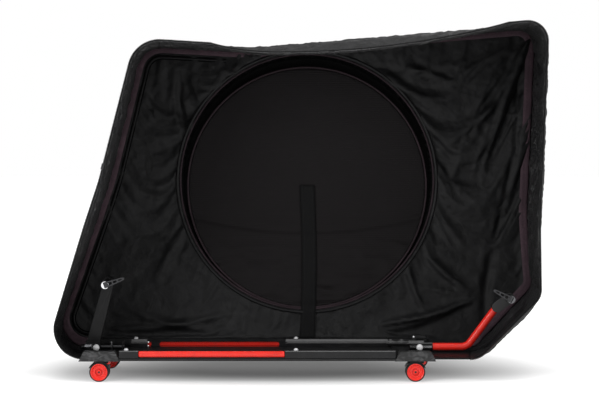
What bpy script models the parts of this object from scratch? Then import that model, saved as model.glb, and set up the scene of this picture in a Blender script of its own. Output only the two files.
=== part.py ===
"""A soft travel case for one bicycle, on a caster base, with its near side panel zipped off.

Metres, +Z up. The case stands on its casters with the open side towards -Y and the fork end
towards +X. Inside this file, x = 0 is the middle of the wheelbase and y = 0 the middle of the base.
One empty then shifts everything so that the origin is under the middle of the whole case.
"""

import math

import bmesh
import bpy
from mathutils import Matrix, Vector

# Clearances
GAP = 0.0003
SEAM_CLEARANCE = 0.0008
PANEL_TRIM = 0.0005
RAIL_CLEARANCE = 0.0034

# Casters
WHEEL_RADIUS = 0.026
TYRE_WALL = 0.0026
WHEEL_WIDTH = 0.017
TYRE_CROWN = 0.0022
HUB_DISH = 0.006
HUB_CAP_RADIUS = 0.007
HUB_CAP_SET_BACK = 0.003
RIM_FLANGE = 0.003
WEB_THICKNESS = 0.008
AXLE_RADIUS = 0.003
TRAIL = 0.0145
# The caster that stands turned about, its wheels ahead of its stem
TURNED_CASTER = "far_front"
STEM_RADIUS = 0.0047
STEM_LENGTH = 0.017
HOOD_CLEARANCE = 0.0015
HOOD_WALL = 0.002
HOOD_LIP_ANGLE = 23
BOSS_RADIUS = 0.0075
STEM_SINK = 0.005
WHEELBASE = 0.851
TRACK = 0.250

# Base
BASE_UNDERSIDE = 0.056
BASE_HALF_WIDTH = 0.1125
RAIL_WIDTH = 0.024
RAIL_HEIGHT = 0.027
RAIL_LIP_HEIGHT = 0.009
RAIL_LIP_DEPTH = 0.003
RAIL_EDGE = 0.0012
BAR_START = -0.3207
BAR_END = 0.0744
BAR_EDGE = 0.004
BRACKET_LENGTH = 0.107
BRACKET_TOP_LENGTH = 0.083
BRACKET_HEIGHT = 0.0255
BRACKET_WIDTH = 0.026
BRACKET_EDGE = 0.003
REAR_SCREW_X = -0.354
MIDDLE_SCREW_X = 0.104
SCREW_HEAD_RADIUS = 0.0065
SCREW_HEAD_HEIGHT = 0.0058
SCREW_SHANK_RADIUS = 0.0025
SCREW_SHANK_LENGTH = 0.012
SCREW_INSET = 0.0015

# Soft shell
SHELL_WALL = 0.004
FAR_GROWTH = 0.030
HALF_WIDTH = 0.200
SEAT_HALF_WIDTH = 0.1328
SEAM_SPARE = 0.003
KNUCKLE_HEIGHT = 0.430
SHOULDER = 0.070

# Corners of the open rim in x and z, each with its rounding radius
REAR_FOOT = (-0.578, BASE_UNDERSIDE, 0.085)
REAR_KNEE = (-0.416, 0.544, 0.500)
REAR_TOP = (-0.319, 0.918, 0.085)
TOP_DIP = (-0.026, 0.900, 1.000)
FRONT_TOP = (0.7705, 0.969, 0.055)
FRONT_WAIST = (0.7495, KNUCKLE_HEIGHT, 0.800)
TOE_TOP = (0.7600, 0.2300, 0.050)
TOE_FOOT = (0.5965, BASE_UNDERSIDE, 0.050)
RIM_SAG = 0.034
RIM_SAG_POWER = 0.8
RIM_SAG_FLOOR = 0.816
RIM_SAG_START = -0.120
RIM_SAG_END = 0.660

# Wheel pocket in the back panel
POCKET_X = 0.136
POCKET_Z = 0.533
POCKET_RADIUS = 0.367
POCKET_DEPTH = 0.085
POCKET_CROWN = 0.012
DIVIDER_WALL = 0.008
ZIP_WALL = 0.0015
POCKET_ZIP_WIDTH = 0.012
STRAP_WIDTH = 0.042
STRAP_WALL = 0.002
STRAP_TOP = 0.521
STRAP_FOOT = 0.084

# Trims
TAPE_WIDTH = 0.024
TAPE_WALL = 0.0012
RIM_ZIP_WIDTH = 0.012
RIM_ZIP_WALL = 0.002
SLIDER_LENGTH = 0.016
SLIDER_REACH = 0.004
SLIDER_GRIP = 0.007
SLIDER_WALL = 0.0018
SLIDER_CLEARANCE = 0.0005
SLIDER_WIDTH = 0.0096
SLIDER_THICKNESS = 0.004
SLIDER_HEIGHT = 0.58
PULL_LENGTH = 0.032
PULL_WIDTH = 0.0072
PULL_WALL = 0.0018
HANDLE_LENGTH = 0.200
HANDLE_WIDTH = 0.030
HANDLE_WALL = 0.003
HANDLE_RISE = 0.032
HANDLE_STITCHED = 0.028
HANDLE_BEND = (0.0446, 0.0275)
REAR_HANDLE = (-0.322, 0.640)
FRONT_HANDLE = (0.640, 0.560)

# Fork support
SUPPORT_HEIGHT = 0.0764
TUBE_RADIUS = 0.0105
SLEEVE_RADIUS = 0.0125
SLEEVE_START = 0.419
SLEEVE_END = 0.4835
TUBE_START = 0.424
TUBE_CORNER_X = 0.579
TUBE_ANGLE = 53.4
TUBE_BEND = 0.030
TUBE_RISE = 0.1386
HEAD_OFFSET = (0.0335, 0.025)
HEAD_THICKNESS = 0.026
HEAD_ROUND = 0.015
FORK_HUB = 0.092
HUB_BOSS_RADIUS = 0.012
DROPOUT_STUB = 0.0045
DROPOUT_RADIUS = 0.0045
SKEWER_RADIUS = 0.0025
NUT_RADIUS = 0.011
NUT_LENGTH = 0.010
NUT_TAPER = 0.7
NUT_RIM = 0.4
LEVER_LENGTH = 0.056
LEVER_WIDTH = 0.016
LEVER_WALL = 0.006
LEVER_PADDLE = 0.7
# Half width of the cam lever along its length, as shares of its width and length
LEVER_TAPER = ((0, 1), (0.3, 0.8), (0.75, 0.6), (1, 0.35))
HEAD_DISC_RADIUS = 0.0105
HEAD_DISC_LENGTH = 0.008
LEVER_ANGLE = 151.7
BLOCK_START = 0.425
BLOCK_LENGTH = 0.034
BLOCK_HEIGHT = 0.007
BLOCK_HALF_WIDTH = 0.011
CLAMP_EAR_WALL = 0.0035
CLAMP_EAR_LENGTH = 0.010
CLAMP_EAR_EDGE = 0.005
CLAMP_PIN_RADIUS = 0.0015
CLAMP_BOSS_RADIUS = 0.004
CLAMP_PIVOT_HEIGHT = 0.105
CLAMP_LEVER_LENGTH = 0.034
# Corners of the clamp lever's flag, as shares of its length and of its boss
CLAMP_FLAG = ((0.6, -0.75), (1, -1.1), (1, 0.25), (0.6, 1))
FRONT_KNOB_X = 0.4465
KNOB_RADIUS = 0.009
KNOB_DEPTH = 0.013
KNOB_NECK = 0.003
KNOB_RIM = 0.005

# Rear support
GUIDE_RADIUS = 0.007
GUIDE_START = -0.492
GUIDE_END = -0.372
GUIDE_EARS = (-0.4065, -0.3765)
GUIDE_EAR_WALL = 0.003
GUIDE_EAR_EDGE = 0.0085
STAND_BLOCK_START = -0.4785
STAND_BLOCK_LENGTH = 0.040
STAND_BLOCK_HALF_WIDTH = 0.013
STAND_BLOCK_TOP = 0.094
STAND_THICKNESS = 0.012
STAND_FOOT_WIDTH = 0.036
JOIN_DEPTH = 0.002
STAND_HEAD_RADIUS = 0.016
REAR_AXLE_X = -0.417
REAR_AXLE_HEIGHT = 0.2545
REAR_HUB = 0.130
REAR_LEVER_ANGLE = 20
REAR_BOSS_RADIUS = 0.0128
REAR_KNOB_OFFSET = 0.0095
AXLE_JOIN = 0.0005

# Cross members
CROSS_WALL = 0.0033
FRONT_CROSS = (0.375, 0.445)
REAR_CROSS = (-0.455, -0.370)

RING_STEPS = 56
WHEEL_STEPS = 24
BASE_TOP = BASE_UNDERSIDE + RAIL_HEIGHT
FLOOR_TOP = BASE_UNDERSIDE + SHELL_WALL
RAIL_INSIDE = BASE_HALF_WIDTH + RAIL_CLEARANCE
RAIL_MIDDLE = RAIL_INSIDE + RAIL_WIDTH / 2
SCREW_LINE = RAIL_MIDDLE - SCREW_INSET
# Half widths of the shell, from the floor up: it flares at the rails, then up to the knuckle
SIDE_LINE = (
    (BASE_UNDERSIDE, BASE_HALF_WIDTH),
    (BASE_TOP, SEAT_HALF_WIDTH),
    (KNUCKLE_HEIGHT, HALF_WIDTH),
)
SIDE_SLOPE = (HALF_WIDTH - SEAT_HALF_WIDTH) / (KNUCKLE_HEIGHT - BASE_TOP)
COVER_Y = HALF_WIDTH + POCKET_DEPTH
RIM_CORNERS = (REAR_FOOT, REAR_KNEE, REAR_TOP, TOP_DIP, FRONT_TOP, FRONT_WAIST, TOE_TOP, TOE_FOOT)
# How far each corner moves out for one unit of growth, in x and z
GROWTH_WAY = ((-1, 0), (-1, 0), (-1, 0.6), (0, 0.6), (1, 0.6), (1, 0), (1, 0), (0.8, 0))
CORNER_STEPS = (8, 3, 5, 3, 5, 3, 5, 5)
# Straight runs after each corner, and how many pieces each is cut into
RUN_STEPS = (4, 4, 3, 7, 4, 3, 2, 6)


def flare(z):
    """Half width of the shell at height z."""
    if z <= SIDE_LINE[0][0]:
        return SIDE_LINE[0][1]
    for (low, narrow), (high, wide) in zip(SIDE_LINE, SIDE_LINE[1:]):
        if z <= high:
            return narrow + (wide - narrow) * (z - low) / (high - low)
    return HALF_WIDTH


def grown_corners(growth):
    return [
        (x + growth * way[0], z + growth * way[1], r)
        for (x, z, r), way in zip(RIM_CORNERS, GROWTH_WAY)
    ]


def rounded_corner(before, corner, after, steps):
    """Points of the arc that rounds one corner of the outline, clockwise as the near side sees it."""
    point = Vector(corner[:2])
    back = (Vector(before[:2]) - point).normalized()
    ahead = (Vector(after[:2]) - point).normalized()
    half = back.angle(ahead) / 2
    reach = corner[2] / math.tan(half)
    centre = point + (back + ahead).normalized() * corner[2] / math.sin(half)
    start = point + back * reach - centre
    end = point + ahead * reach - centre
    turn = start.angle_signed(end)
    return [centre + Matrix.Rotation(-turn * i / steps, 2) @ start for i in range(steps + 1)]


def outline_arcs(growth):
    corners = grown_corners(growth)
    arcs = []
    for i, corner in enumerate(corners):
        after = corners[(i + 1) % len(corners)]
        arcs.append(rounded_corner(corners[i - 1], corner, after, CORNER_STEPS[i]))
    return arcs


def outline(first, last, growth=0.0, inset=0.0):
    """Points (x, z) from the start of corner first's arc to the end of corner last's arc."""
    arcs = outline_arcs(growth)
    points = list(arcs[first % len(arcs)])
    for i in range(first, last):
        here = arcs[i % len(arcs)][-1]
        there = arcs[(i + 1) % len(arcs)][0]
        steps = RUN_STEPS[i % len(arcs)]
        shares = [step / steps for step in range(1, steps)]
        if here.y < KNUCKLE_HEIGHT < there.y:
            knuckle = (KNUCKLE_HEIGHT - here.y) / (there.y - here.y)
            nearest = min(range(len(shares)), key=lambda k: abs(shares[k] - knuckle))
            shares[nearest] = knuckle
        points += [here.lerp(there, share) for share in shares]
        points += arcs[(i + 1) % len(arcs)]
    return [point + inward(points, i) * inset for i, point in enumerate(points)]


def inward(points, i):
    """Unit normal of a clockwise line of points at one of them, towards the inside of the case."""
    tangent = (points[min(i + 1, len(points) - 1)] - points[max(i - 1, 0)]).normalized()
    return Vector((tangent.y, -tangent.x))


def run_between(last, growth):
    """The straight run that follows one corner's arc, ends included."""
    arcs = outline_arcs(growth)
    here = arcs[last][-1]
    there = arcs[(last + 1) % len(arcs)][0]
    steps = RUN_STEPS[last]
    return [here.lerp(there, step / steps) for step in range(steps + 1)]


def sag(x, z):
    """How far the open rim hangs at x, along the top only."""
    share = (x - RIM_SAG_START) / (RIM_SAG_END - RIM_SAG_START)
    if z < RIM_SAG_FLOOR or not 0 < share < 1:
        return 0.0
    return RIM_SAG * math.sin(math.pi * share) ** RIM_SAG_POWER


def case_bounds():
    """Middle of the whole case in x and y, from its widest outline and its depth."""
    xs = [point.x for point in outline(0, 7, FAR_GROWTH)]
    near = -(HALF_WIDTH + RIM_ZIP_WIDTH + SLIDER_REACH)
    far = COVER_Y + SHELL_WALL + POCKET_CROWN
    return (min(xs) + max(xs)) / 2, (near + far) / 2


def make_collection(name):
    collection = bpy.data.collections.new(name)
    bpy.context.scene.collection.children.link(collection)
    return collection


def clear_scene():
    for thing in list(bpy.data.objects):
        bpy.data.objects.remove(thing, do_unlink=True)


clear_scene()
PARTS = make_collection("bike_travel_case")
CUTTERS = make_collection("cutters")


def make_material(name, color, roughness, metallic=0.0):
    material = bpy.data.materials.new(name)
    material.use_nodes = True
    shader = material.node_tree.nodes["Principled BSDF"]
    shader.inputs["Base Color"].default_value = (*color, 1.0)
    shader.inputs["Roughness"].default_value = roughness
    shader.inputs["Metallic"].default_value = metallic
    return material


NYLON = make_material("black_nylon", (0.012, 0.012, 0.013), 0.55)
LINING = make_material("brown_black_mesh", (0.020, 0.017, 0.017), 0.75)
TRIM = make_material("brown_binding", (0.030, 0.020, 0.020), 0.60)
WEBBING = make_material("black_webbing", (0.016, 0.016, 0.017), 0.70)
ZIP_COIL = make_material("black_zip_coil", (0.010, 0.010, 0.010), 0.40)
RED_PAINT = make_material("red_paint", (0.600, 0.020, 0.015), 0.30)
BLACK_RAIL = make_material("black_anodised_rail", (0.018, 0.018, 0.020), 0.35, 0.6)
MARBLED = make_material("marbled_bracket", (0.050, 0.050, 0.055), 0.30)
BLACK_PLASTIC = make_material("black_plastic", (0.020, 0.020, 0.021), 0.40)
RED_PLASTIC = make_material("red_plastic", (0.650, 0.030, 0.020), 0.35)
TYRE_RUBBER = make_material("tyre_rubber", (0.015, 0.015, 0.015), 0.60)
SILVER = make_material("silver_metal", (0.620, 0.620, 0.640), 0.25, 1.0)
GREY_METAL = make_material("grey_metal", (0.250, 0.250, 0.260), 0.35, 1.0)


def make_datum():
    middle_x, middle_y = case_bounds()
    datum = bpy.data.objects.new("case_datum", None)
    datum.location = (-middle_x, -middle_y, 0)
    PARTS.objects.link(datum)
    return datum


DATUM = make_datum()


def empty(name, location, parent=DATUM):
    holder = bpy.data.objects.new(name, None)
    holder.location = location
    holder.parent = parent
    PARTS.objects.link(holder)
    return holder


def piece(name, mesh, material, at=(0, 0, 0), turn=(0, 0, 0), parent=DATUM):
    """Put a mesh in the case as one named sub-part."""
    thing = bpy.data.objects.new(name, mesh)
    thing.location = at
    thing.rotation_euler = [math.radians(angle) for angle in turn]
    thing.parent = parent
    thing.data.materials.clear()
    thing.data.materials.append(material)
    PARTS.objects.link(thing)
    return thing


def cutter(mesh, at=(0, 0, 0), turn=(0, 0, 0), parent=DATUM):
    """A closed shape that cuts or joins another piece, and isn't one itself."""
    thing = bpy.data.objects.new("cutter", mesh)
    thing.location = at
    thing.rotation_euler = [math.radians(angle) for angle in turn]
    thing.parent = parent
    thing.hide_render = True
    thing.display_type = "WIRE"
    CUTTERS.objects.link(thing)
    return thing


def combine(target, tool, operation):
    change = target.modifiers.new(operation.lower(), "BOOLEAN")
    change.operation = operation
    change.solver = "EXACT"
    change.object = tool


def cut(target, tool):
    combine(target, tool, "DIFFERENCE")


def join(target, tool):
    combine(target, tool, "UNION")


def bevel(target, width, segments=2, angle=40):
    edge = target.modifiers.new("bevel", "BEVEL")
    edge.width = width
    edge.segments = segments
    edge.limit_method = "ANGLE"
    edge.angle_limit = math.radians(angle)


def evaluated_mesh(thing):
    bpy.context.view_layer.update()
    graph = bpy.context.evaluated_depsgraph_get()
    return bpy.data.meshes.new_from_object(thing.evaluated_get(graph), depsgraph=graph)


def mesh_from(shape, name="shape"):
    mesh = bpy.data.meshes.new(name)
    shape.to_mesh(mesh)
    shape.free()
    return mesh


def box_mesh(size, centre=(0, 0, 0)):
    shape = bmesh.new()
    placed = Matrix.Translation(centre) @ Matrix.Diagonal((*size, 1))
    bmesh.ops.create_cube(shape, size=1, matrix=placed)
    return mesh_from(shape)


def box_between(low, high):
    size = [b - a for a, b in zip(low, high)]
    centre = [(a + b) / 2 for a, b in zip(low, high)]
    return box_mesh(size, centre)


def rod_mesh(radius, length, steps=24):
    """A cylinder round the local Z axis, centred."""
    shape = bmesh.new()
    bmesh.ops.create_cone(
        shape, cap_ends=True, segments=steps, radius1=radius, radius2=radius, depth=length
    )
    return mesh_from(shape)


def plate_mesh(points, thickness):
    """A flat outline in local X and Y, thickened both ways along Z."""
    curve = bpy.data.curves.new("outline", "CURVE")
    curve.dimensions = "2D"
    curve.fill_mode = "BOTH"
    curve.extrude = thickness / 2
    spline = curve.splines.new("POLY")
    spline.points.add(len(points) - 1)
    for slot, point in zip(spline.points, points):
        slot.co = (point[0], point[1], 0, 1)
    spline.use_cyclic_u = True
    return curve_mesh(curve)


def curve_mesh(curve):
    """The closed mesh of a curve object, with its caps welded."""
    holder = bpy.data.objects.new("curve", curve)
    CUTTERS.objects.link(holder)
    mesh = evaluated_mesh(holder)
    bpy.data.objects.remove(holder, do_unlink=True)
    shape = bmesh.new()
    shape.from_mesh(mesh)
    bmesh.ops.remove_doubles(shape, verts=shape.verts, dist=0.00002)
    bmesh.ops.recalc_face_normals(shape, faces=shape.faces)
    shape.to_mesh(mesh)
    shape.free()
    return mesh


def tube_mesh(points, radius, rounds=4, closed=False):
    curve = bpy.data.curves.new("route", "CURVE")
    curve.dimensions = "3D"
    curve.bevel_depth = radius
    curve.bevel_resolution = rounds
    curve.use_fill_caps = not closed
    spline = curve.splines.new("POLY")
    spline.points.add(len(points) - 1)
    for slot, point in zip(spline.points, points):
        slot.co = (*point, 1)
    spline.use_cyclic_u = closed
    return curve_mesh(curve)


def turned_mesh(profile, steps):
    """A profile (radius, height), outer side first and downwards, turned round local Z.

    One whose ends lie on the axis stays open there, and any other is closed.
    """
    shape = bmesh.new()
    corners = [shape.verts.new((r, 0, z)) for r, z in profile]
    for a, b in zip(corners, corners[1:]):
        shape.edges.new((a, b))
    if profile[0][0] > 0:
        shape.edges.new((corners[-1], corners[0]))
    holder = bpy.data.objects.new("profile", mesh_from(shape))
    CUTTERS.objects.link(holder)
    screw = holder.modifiers.new("turn", "SCREW")
    screw.axis = "Z"
    screw.steps = steps
    screw.render_steps = steps
    screw.use_merge_vertices = True
    screw.merge_threshold = 0.00001
    mesh = evaluated_mesh(holder)
    bpy.data.objects.remove(holder, do_unlink=True)
    return mesh


def sheet_mesh(rows, closed=False):
    """An open sheet through rows of points; its faces look along (down the rows) x (across a row)."""
    shape = bmesh.new()
    grid = [[shape.verts.new(point) for point in row] for row in rows]
    pairs = list(zip(grid, grid[1:]))
    if closed:
        pairs.append((grid[-1], grid[0]))
    for row, ahead in pairs:
        for j in range(len(row) - 1):
            shape.faces.new((row[j], ahead[j], ahead[j + 1], row[j + 1]))
    return mesh_from(shape)


def thicken(thing, wall, way=-1):
    """Give an open sheet its wall: way -1 is against its faces' direction, 1 is along it."""
    solid = thing.modifiers.new("wall", "SOLIDIFY")
    solid.thickness = wall
    solid.offset = way
    solid.use_even_offset = True


def smooth(thing, angle=35):
    thing.data.shade_smooth()
    thing.data.set_sharp_from_angle(angle=math.radians(angle))


# Soft shell


def trimmed(rows):
    """Draw a panel's two end rows in, so that its wall stays clear of its neighbours' walls."""
    first = [a + (b - a).normalized() * PANEL_TRIM for a, b in zip(rows[0], rows[1])]
    last = [a + (b - a).normalized() * PANEL_TRIM for a, b in zip(rows[-1], rows[-2])]
    return [first] + rows[1:-1] + [last]


def shell_row(near, far):
    """Across the case from the open rim to the back seam, at one place of the outline."""
    drop = sag(near.x, near.y)
    middle = near.lerp(far, 0.5)
    return [
        Vector((near.x, -flare(near.y), near.y - drop)),
        Vector((near.x, -flare(near.y) + SHOULDER, near.y)),
        Vector((middle.x, 0, middle.y)),
        Vector((far.x, flare(far.y) + SEAM_SPARE, far.y)),
    ]


def shell_panel(name, rows):
    """An end, top or floor panel: its far edge is cut to meet the back panel's inside."""
    panel = piece(name, sheet_mesh(trimmed(rows)), NYLON)
    thicken(panel, SHELL_WALL)
    cut(panel, side_block(0, 4 * HALF_WIDTH))
    return panel


def shell_rows(first, last, skip_first=0, skip_last=0):
    """Rows of a panel between two corners of the outline, without the arcs it leaves to others."""
    near, far = [outline(first, last, growth) for growth in (0.0, FAR_GROWTH)]
    stop = len(near) - skip_last
    return [shell_row(a, b) for a, b in zip(near[skip_first:stop], far[skip_first:stop])]


def make_rear_end_panel():
    """Rounded lower corner and slanted wall, up to the start of the top corner."""
    return shell_panel("rear_end_panel", shell_rows(0, 2, 0, CORNER_STEPS[2]))


def make_top_panel():
    return shell_panel("top_panel", shell_rows(2, 4))


def make_front_end_panel():
    """The near-upright end wall, between the top panel's corner and the toe's corner."""
    return shell_panel("front_end_panel", shell_rows(4, 6, CORNER_STEPS[4], CORNER_STEPS[6]))


def make_toe_panel():
    return shell_panel("toe_panel", shell_rows(6, 7))


def make_floor_panel():
    """The flat floor between the two rounded feet of the shell, inside the rails."""
    near, far = [run_between(7, growth) for growth in (0.0, FAR_GROWTH)]
    return shell_panel("floor_panel", [shell_row(a, b) for a, b in zip(near, far)])


def bend_to_side(shape, offset):
    """Fold a flat upright shape over the two bends, onto the inside of the back panel."""
    for height in (BASE_TOP, KNUCKLE_HEIGHT):
        bmesh.ops.bisect_plane(
            shape,
            geom=shape.verts[:] + shape.edges[:] + shape.faces[:],
            plane_co=(0, 0, height),
            plane_no=(0, 0, 1),
        )
    for vertex in shape.verts:
        vertex.co.y = flare(vertex.co.z) + offset


def make_back_panel():
    shape = bmesh.new()
    around = outline(0, 7, FAR_GROWTH)
    shape.faces.new([shape.verts.new((point.x, 0, point.y)) for point in around])
    bend_to_side(shape, GAP)
    panel = piece("back_panel", mesh_from(shape), NYLON)
    thicken(panel, SHELL_WALL, 1)
    hole = rod_mesh(POCKET_RADIUS, 4 * HALF_WIDTH, RING_STEPS)
    cut(panel, cutter(hole, (POCKET_X, 0, POCKET_Z), (90, 0, 0)))
    reach = WHEELBASE / 2 + BRACKET_LENGTH / 2 + GAP
    seat = box_between((-reach, 0, 0), (reach, HALF_WIDTH, BASE_TOP + GAP))
    cut(panel, cutter(seat))
    below = box_between((2 * REAR_FOOT[0], 0, 0), (2 * TOE_FOOT[0], HALF_WIDTH, BASE_UNDERSIDE))
    cut(panel, cutter(below))
    return panel


def circle_points(radius):
    """Points (x, z) round the pocket, anticlockwise as the near side sees it."""
    turns = [2 * math.pi * i / RING_STEPS for i in range(RING_STEPS)]
    return [(POCKET_X + radius * math.cos(t), POCKET_Z + radius * math.sin(t)) for t in turns]


def make_divider():
    """The padded disc between the main space and the wheel pocket, cut round from a bent sheet."""
    spare = POCKET_RADIUS + DIVIDER_WALL
    corners = ((-spare, -spare), (-spare, spare), (spare, spare), (spare, -spare))
    shape = bmesh.new()
    shape.faces.new([shape.verts.new((POCKET_X + x, 0, POCKET_Z + z)) for x, z in corners])
    bend_to_side(shape, GAP)
    disc = piece("pocket_divider", mesh_from(shape), LINING)
    thicken(disc, DIVIDER_WALL, 1)
    rim = POCKET_RADIUS * math.cos(math.pi / RING_STEPS) - GAP
    around = rod_mesh(rim, 4 * HALF_WIDTH, RING_STEPS)
    combine(disc, cutter(around, (POCKET_X, 0, POCKET_Z), (90, 0, 0)), "INTERSECT")
    return disc


def make_strap():
    """Webbing that hangs from the middle of the divider down to the floor."""
    lift = GAP
    heights = (STRAP_TOP, KNUCKLE_HEIGHT, STRAP_FOOT)
    half = STRAP_WIDTH / 2
    rows = [
        [Vector((POCKET_X + side * half, flare(z) - lift, z)) for side in (-1, 1)]
        for z in heights
    ]
    strap = piece("pocket_strap", sheet_mesh(rows), WEBBING)
    thicken(strap, STRAP_WALL, 1)
    return strap


def side_block(lift, reach):
    """A cutter with one side along the back panel's inside, moved out by lift.

    It fills what lies from there to y = reach, which is on the one side or on the other.
    """
    low = 0.0
    high = 2 * FRONT_TOP[1]
    heights = (low, *(height for height, _ in SIDE_LINE), high)
    points = [(flare(z) + lift, z) for z in heights] + [(reach, high), (reach, low)]
    return cutter(plate_mesh(points, 4 * POCKET_RADIUS), (POCKET_X, 0, 0), (90, 0, 90))


def make_gusset():
    """The drum wall from the back panel out to the pocket's cover."""
    outer = POCKET_RADIUS + SHELL_WALL + SEAM_CLEARANCE
    rows = [
        [Vector((x, 0, z)), Vector((x, COVER_Y - GAP, z))]
        for x, z in reversed(circle_points(outer))
    ]
    gusset = piece("pocket_gusset", sheet_mesh(rows, True), NYLON)
    thicken(gusset, SHELL_WALL)
    wall_across = SHELL_WALL / math.cos(math.atan(SIDE_SLOPE))
    cut(gusset, side_block(GAP + wall_across + GAP, -HALF_WIDTH))
    return gusset


def make_cover():
    """The pocket's outer wall, crowned a little, with its edge over the gusset."""
    edge = POCKET_RADIUS + SHELL_WALL + SEAM_CLEARANCE
    rings = 3
    rise = [(edge * i / rings, POCKET_CROWN * (1 - (i / rings) ** 2)) for i in range(rings + 1)]
    upper = [(r, h + SHELL_WALL) for r, h in rise]
    mesh = turned_mesh(upper + list(reversed(rise)), RING_STEPS)
    return piece("pocket_cover", mesh, NYLON, (POCKET_X, COVER_Y, POCKET_Z), (-90, 0, 0))


def make_pocket_zip():
    inside = POCKET_RADIUS + SHELL_WALL + SEAM_CLEARANCE + GAP
    outside = inside + ZIP_WALL
    low = -POCKET_ZIP_WIDTH - SHELL_WALL
    high = -SHELL_WALL
    loop = [(outside, high), (outside, low), (inside, low), (inside, high)]
    mesh = turned_mesh(loop, RING_STEPS)
    return piece("pocket_zip", mesh, ZIP_COIL, (POCKET_X, COVER_Y, POCKET_Z), (-90, 0, 0))


def make_pocket_zip_slider():
    """Rides round the drum: its origin is the drum's middle."""
    seat = POCKET_RADIUS + SHELL_WALL + SEAM_CLEARANCE + 2 * GAP + ZIP_WALL
    middle = COVER_Y - SHELL_WALL - POCKET_ZIP_WIDTH / 2
    low = -seat - SLIDER_THICKNESS
    body = box_between(
        (-SLIDER_LENGTH / 2, middle - SLIDER_WIDTH / 2, low),
        (SLIDER_LENGTH / 2, middle + SLIDER_WIDTH / 2, -seat),
    )
    slider = piece("pocket_zip_slider", body, GREY_METAL, (POCKET_X, 0, POCKET_Z))
    tab = box_between(
        (0, middle - PULL_WIDTH / 2, low + PULL_WALL / 2),
        (PULL_LENGTH, middle + PULL_WIDTH / 2, low + PULL_WALL * 1.5),
    )
    join(slider, cutter(tab, (POCKET_X, 0, POCKET_Z)))
    return slider


def make_seam_tape():
    """Brown binding on the inside of the back seam, from foot to foot."""
    rows = []
    inset = SHELL_WALL + SEAM_CLEARANCE
    outside = outline(0, 7, FAR_GROWTH, inset)
    inside = outline(0, 7, FAR_GROWTH, inset + TAPE_WIDTH)
    for a, b in zip(outside, inside):
        rows.append([Vector((p.x, flare(p.y) - GAP, p.y)) for p in (a, b)])
    tape = piece("back_seam_tape", sheet_mesh(rows), TRIM)
    thicken(tape, TAPE_WALL)
    return tape


def make_rim_zip():
    """The half zip left on the open rim, standing out from the panels' near edges.

    It starts past the rear bracket, one step up the round corner.
    """
    rows = []
    for p in outline(0, 7, 0.0, (SHELL_WALL - RIM_ZIP_WALL) / 2)[1:]:
        z = p.y - sag(p.x, p.y)
        edge = -flare(p.y) - GAP
        rows.append([Vector((p.x, edge - RIM_ZIP_WIDTH, z)), Vector((p.x, edge, z))])
    tape = piece("rim_zip", sheet_mesh(rows), ZIP_COIL)
    thicken(tape, RIM_ZIP_WALL)
    return tape


def rim_direction():
    """Where the upper rear run of the rim starts, and which way it climbs, in x and z."""
    arcs = outline_arcs(0.0)
    low, high = arcs[1][-1], arcs[2][0]
    return low, (high - low).normalized()


def make_rim_zip_slider():
    """Straddles the free edge of the rim's half zip, with a pull tab hanging from it."""
    low, climb = rim_direction()
    place = low + climb * (SLIDER_HEIGHT - low.y) / climb.y
    middle = place + Vector((climb.y, -climb.x)) * SHELL_WALL / 2
    edge = -HALF_WIDTH - GAP - RIM_ZIP_WIDTH
    tilt = math.degrees(math.atan2(climb.x, climb.y))
    at = (middle.x, edge, middle.y)
    inner = RIM_ZIP_WALL / 2 + SLIDER_CLEARANCE
    outer = inner + SLIDER_WALL
    body = box_between(
        (-outer, GAP - SLIDER_REACH, -SLIDER_LENGTH / 2),
        (outer, SLIDER_GRIP, SLIDER_LENGTH / 2),
    )
    slider = piece("rim_zip_slider", body, GREY_METAL, at, (0, tilt, 0))
    slot = box_between(
        (-inner, -SLIDER_CLEARANCE, -SLIDER_LENGTH),
        (inner, 2 * SLIDER_GRIP, SLIDER_LENGTH),
    )
    tab = box_between(
        (outer - PULL_WALL / 2, GAP - SLIDER_REACH, -SLIDER_LENGTH / 2 - PULL_LENGTH),
        (outer + PULL_WALL / 2, PULL_WIDTH - SLIDER_REACH, SLIDER_LENGTH / 4),
    )
    join(slider, cutter(tab, at, (0, tilt, 0)))
    cut(slider, cutter(slot, at, (0, tilt, 0)))
    return slider


def make_grab_handle(name, x, z):
    """A webbing loop stitched upright on the back panel, beside the wheel pocket."""
    half = HANDLE_LENGTH / 2
    flat = half - HANDLE_STITCHED
    route = [(half, 0), (flat, 0), HANDLE_BEND, (0, HANDLE_RISE)]
    route += [(-along, rise) for along, rise in reversed(route[:-1])]
    base = HALF_WIDTH + SHELL_WALL + 2 * GAP
    rows = [
        [Vector((x + side * HANDLE_WIDTH / 2, base + rise, z + along)) for side in (-1, 1)]
        for along, rise in route
    ]
    handle = piece(name, sheet_mesh(rows), WEBBING)
    thicken(handle, HANDLE_WALL)
    return handle


# Base


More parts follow.
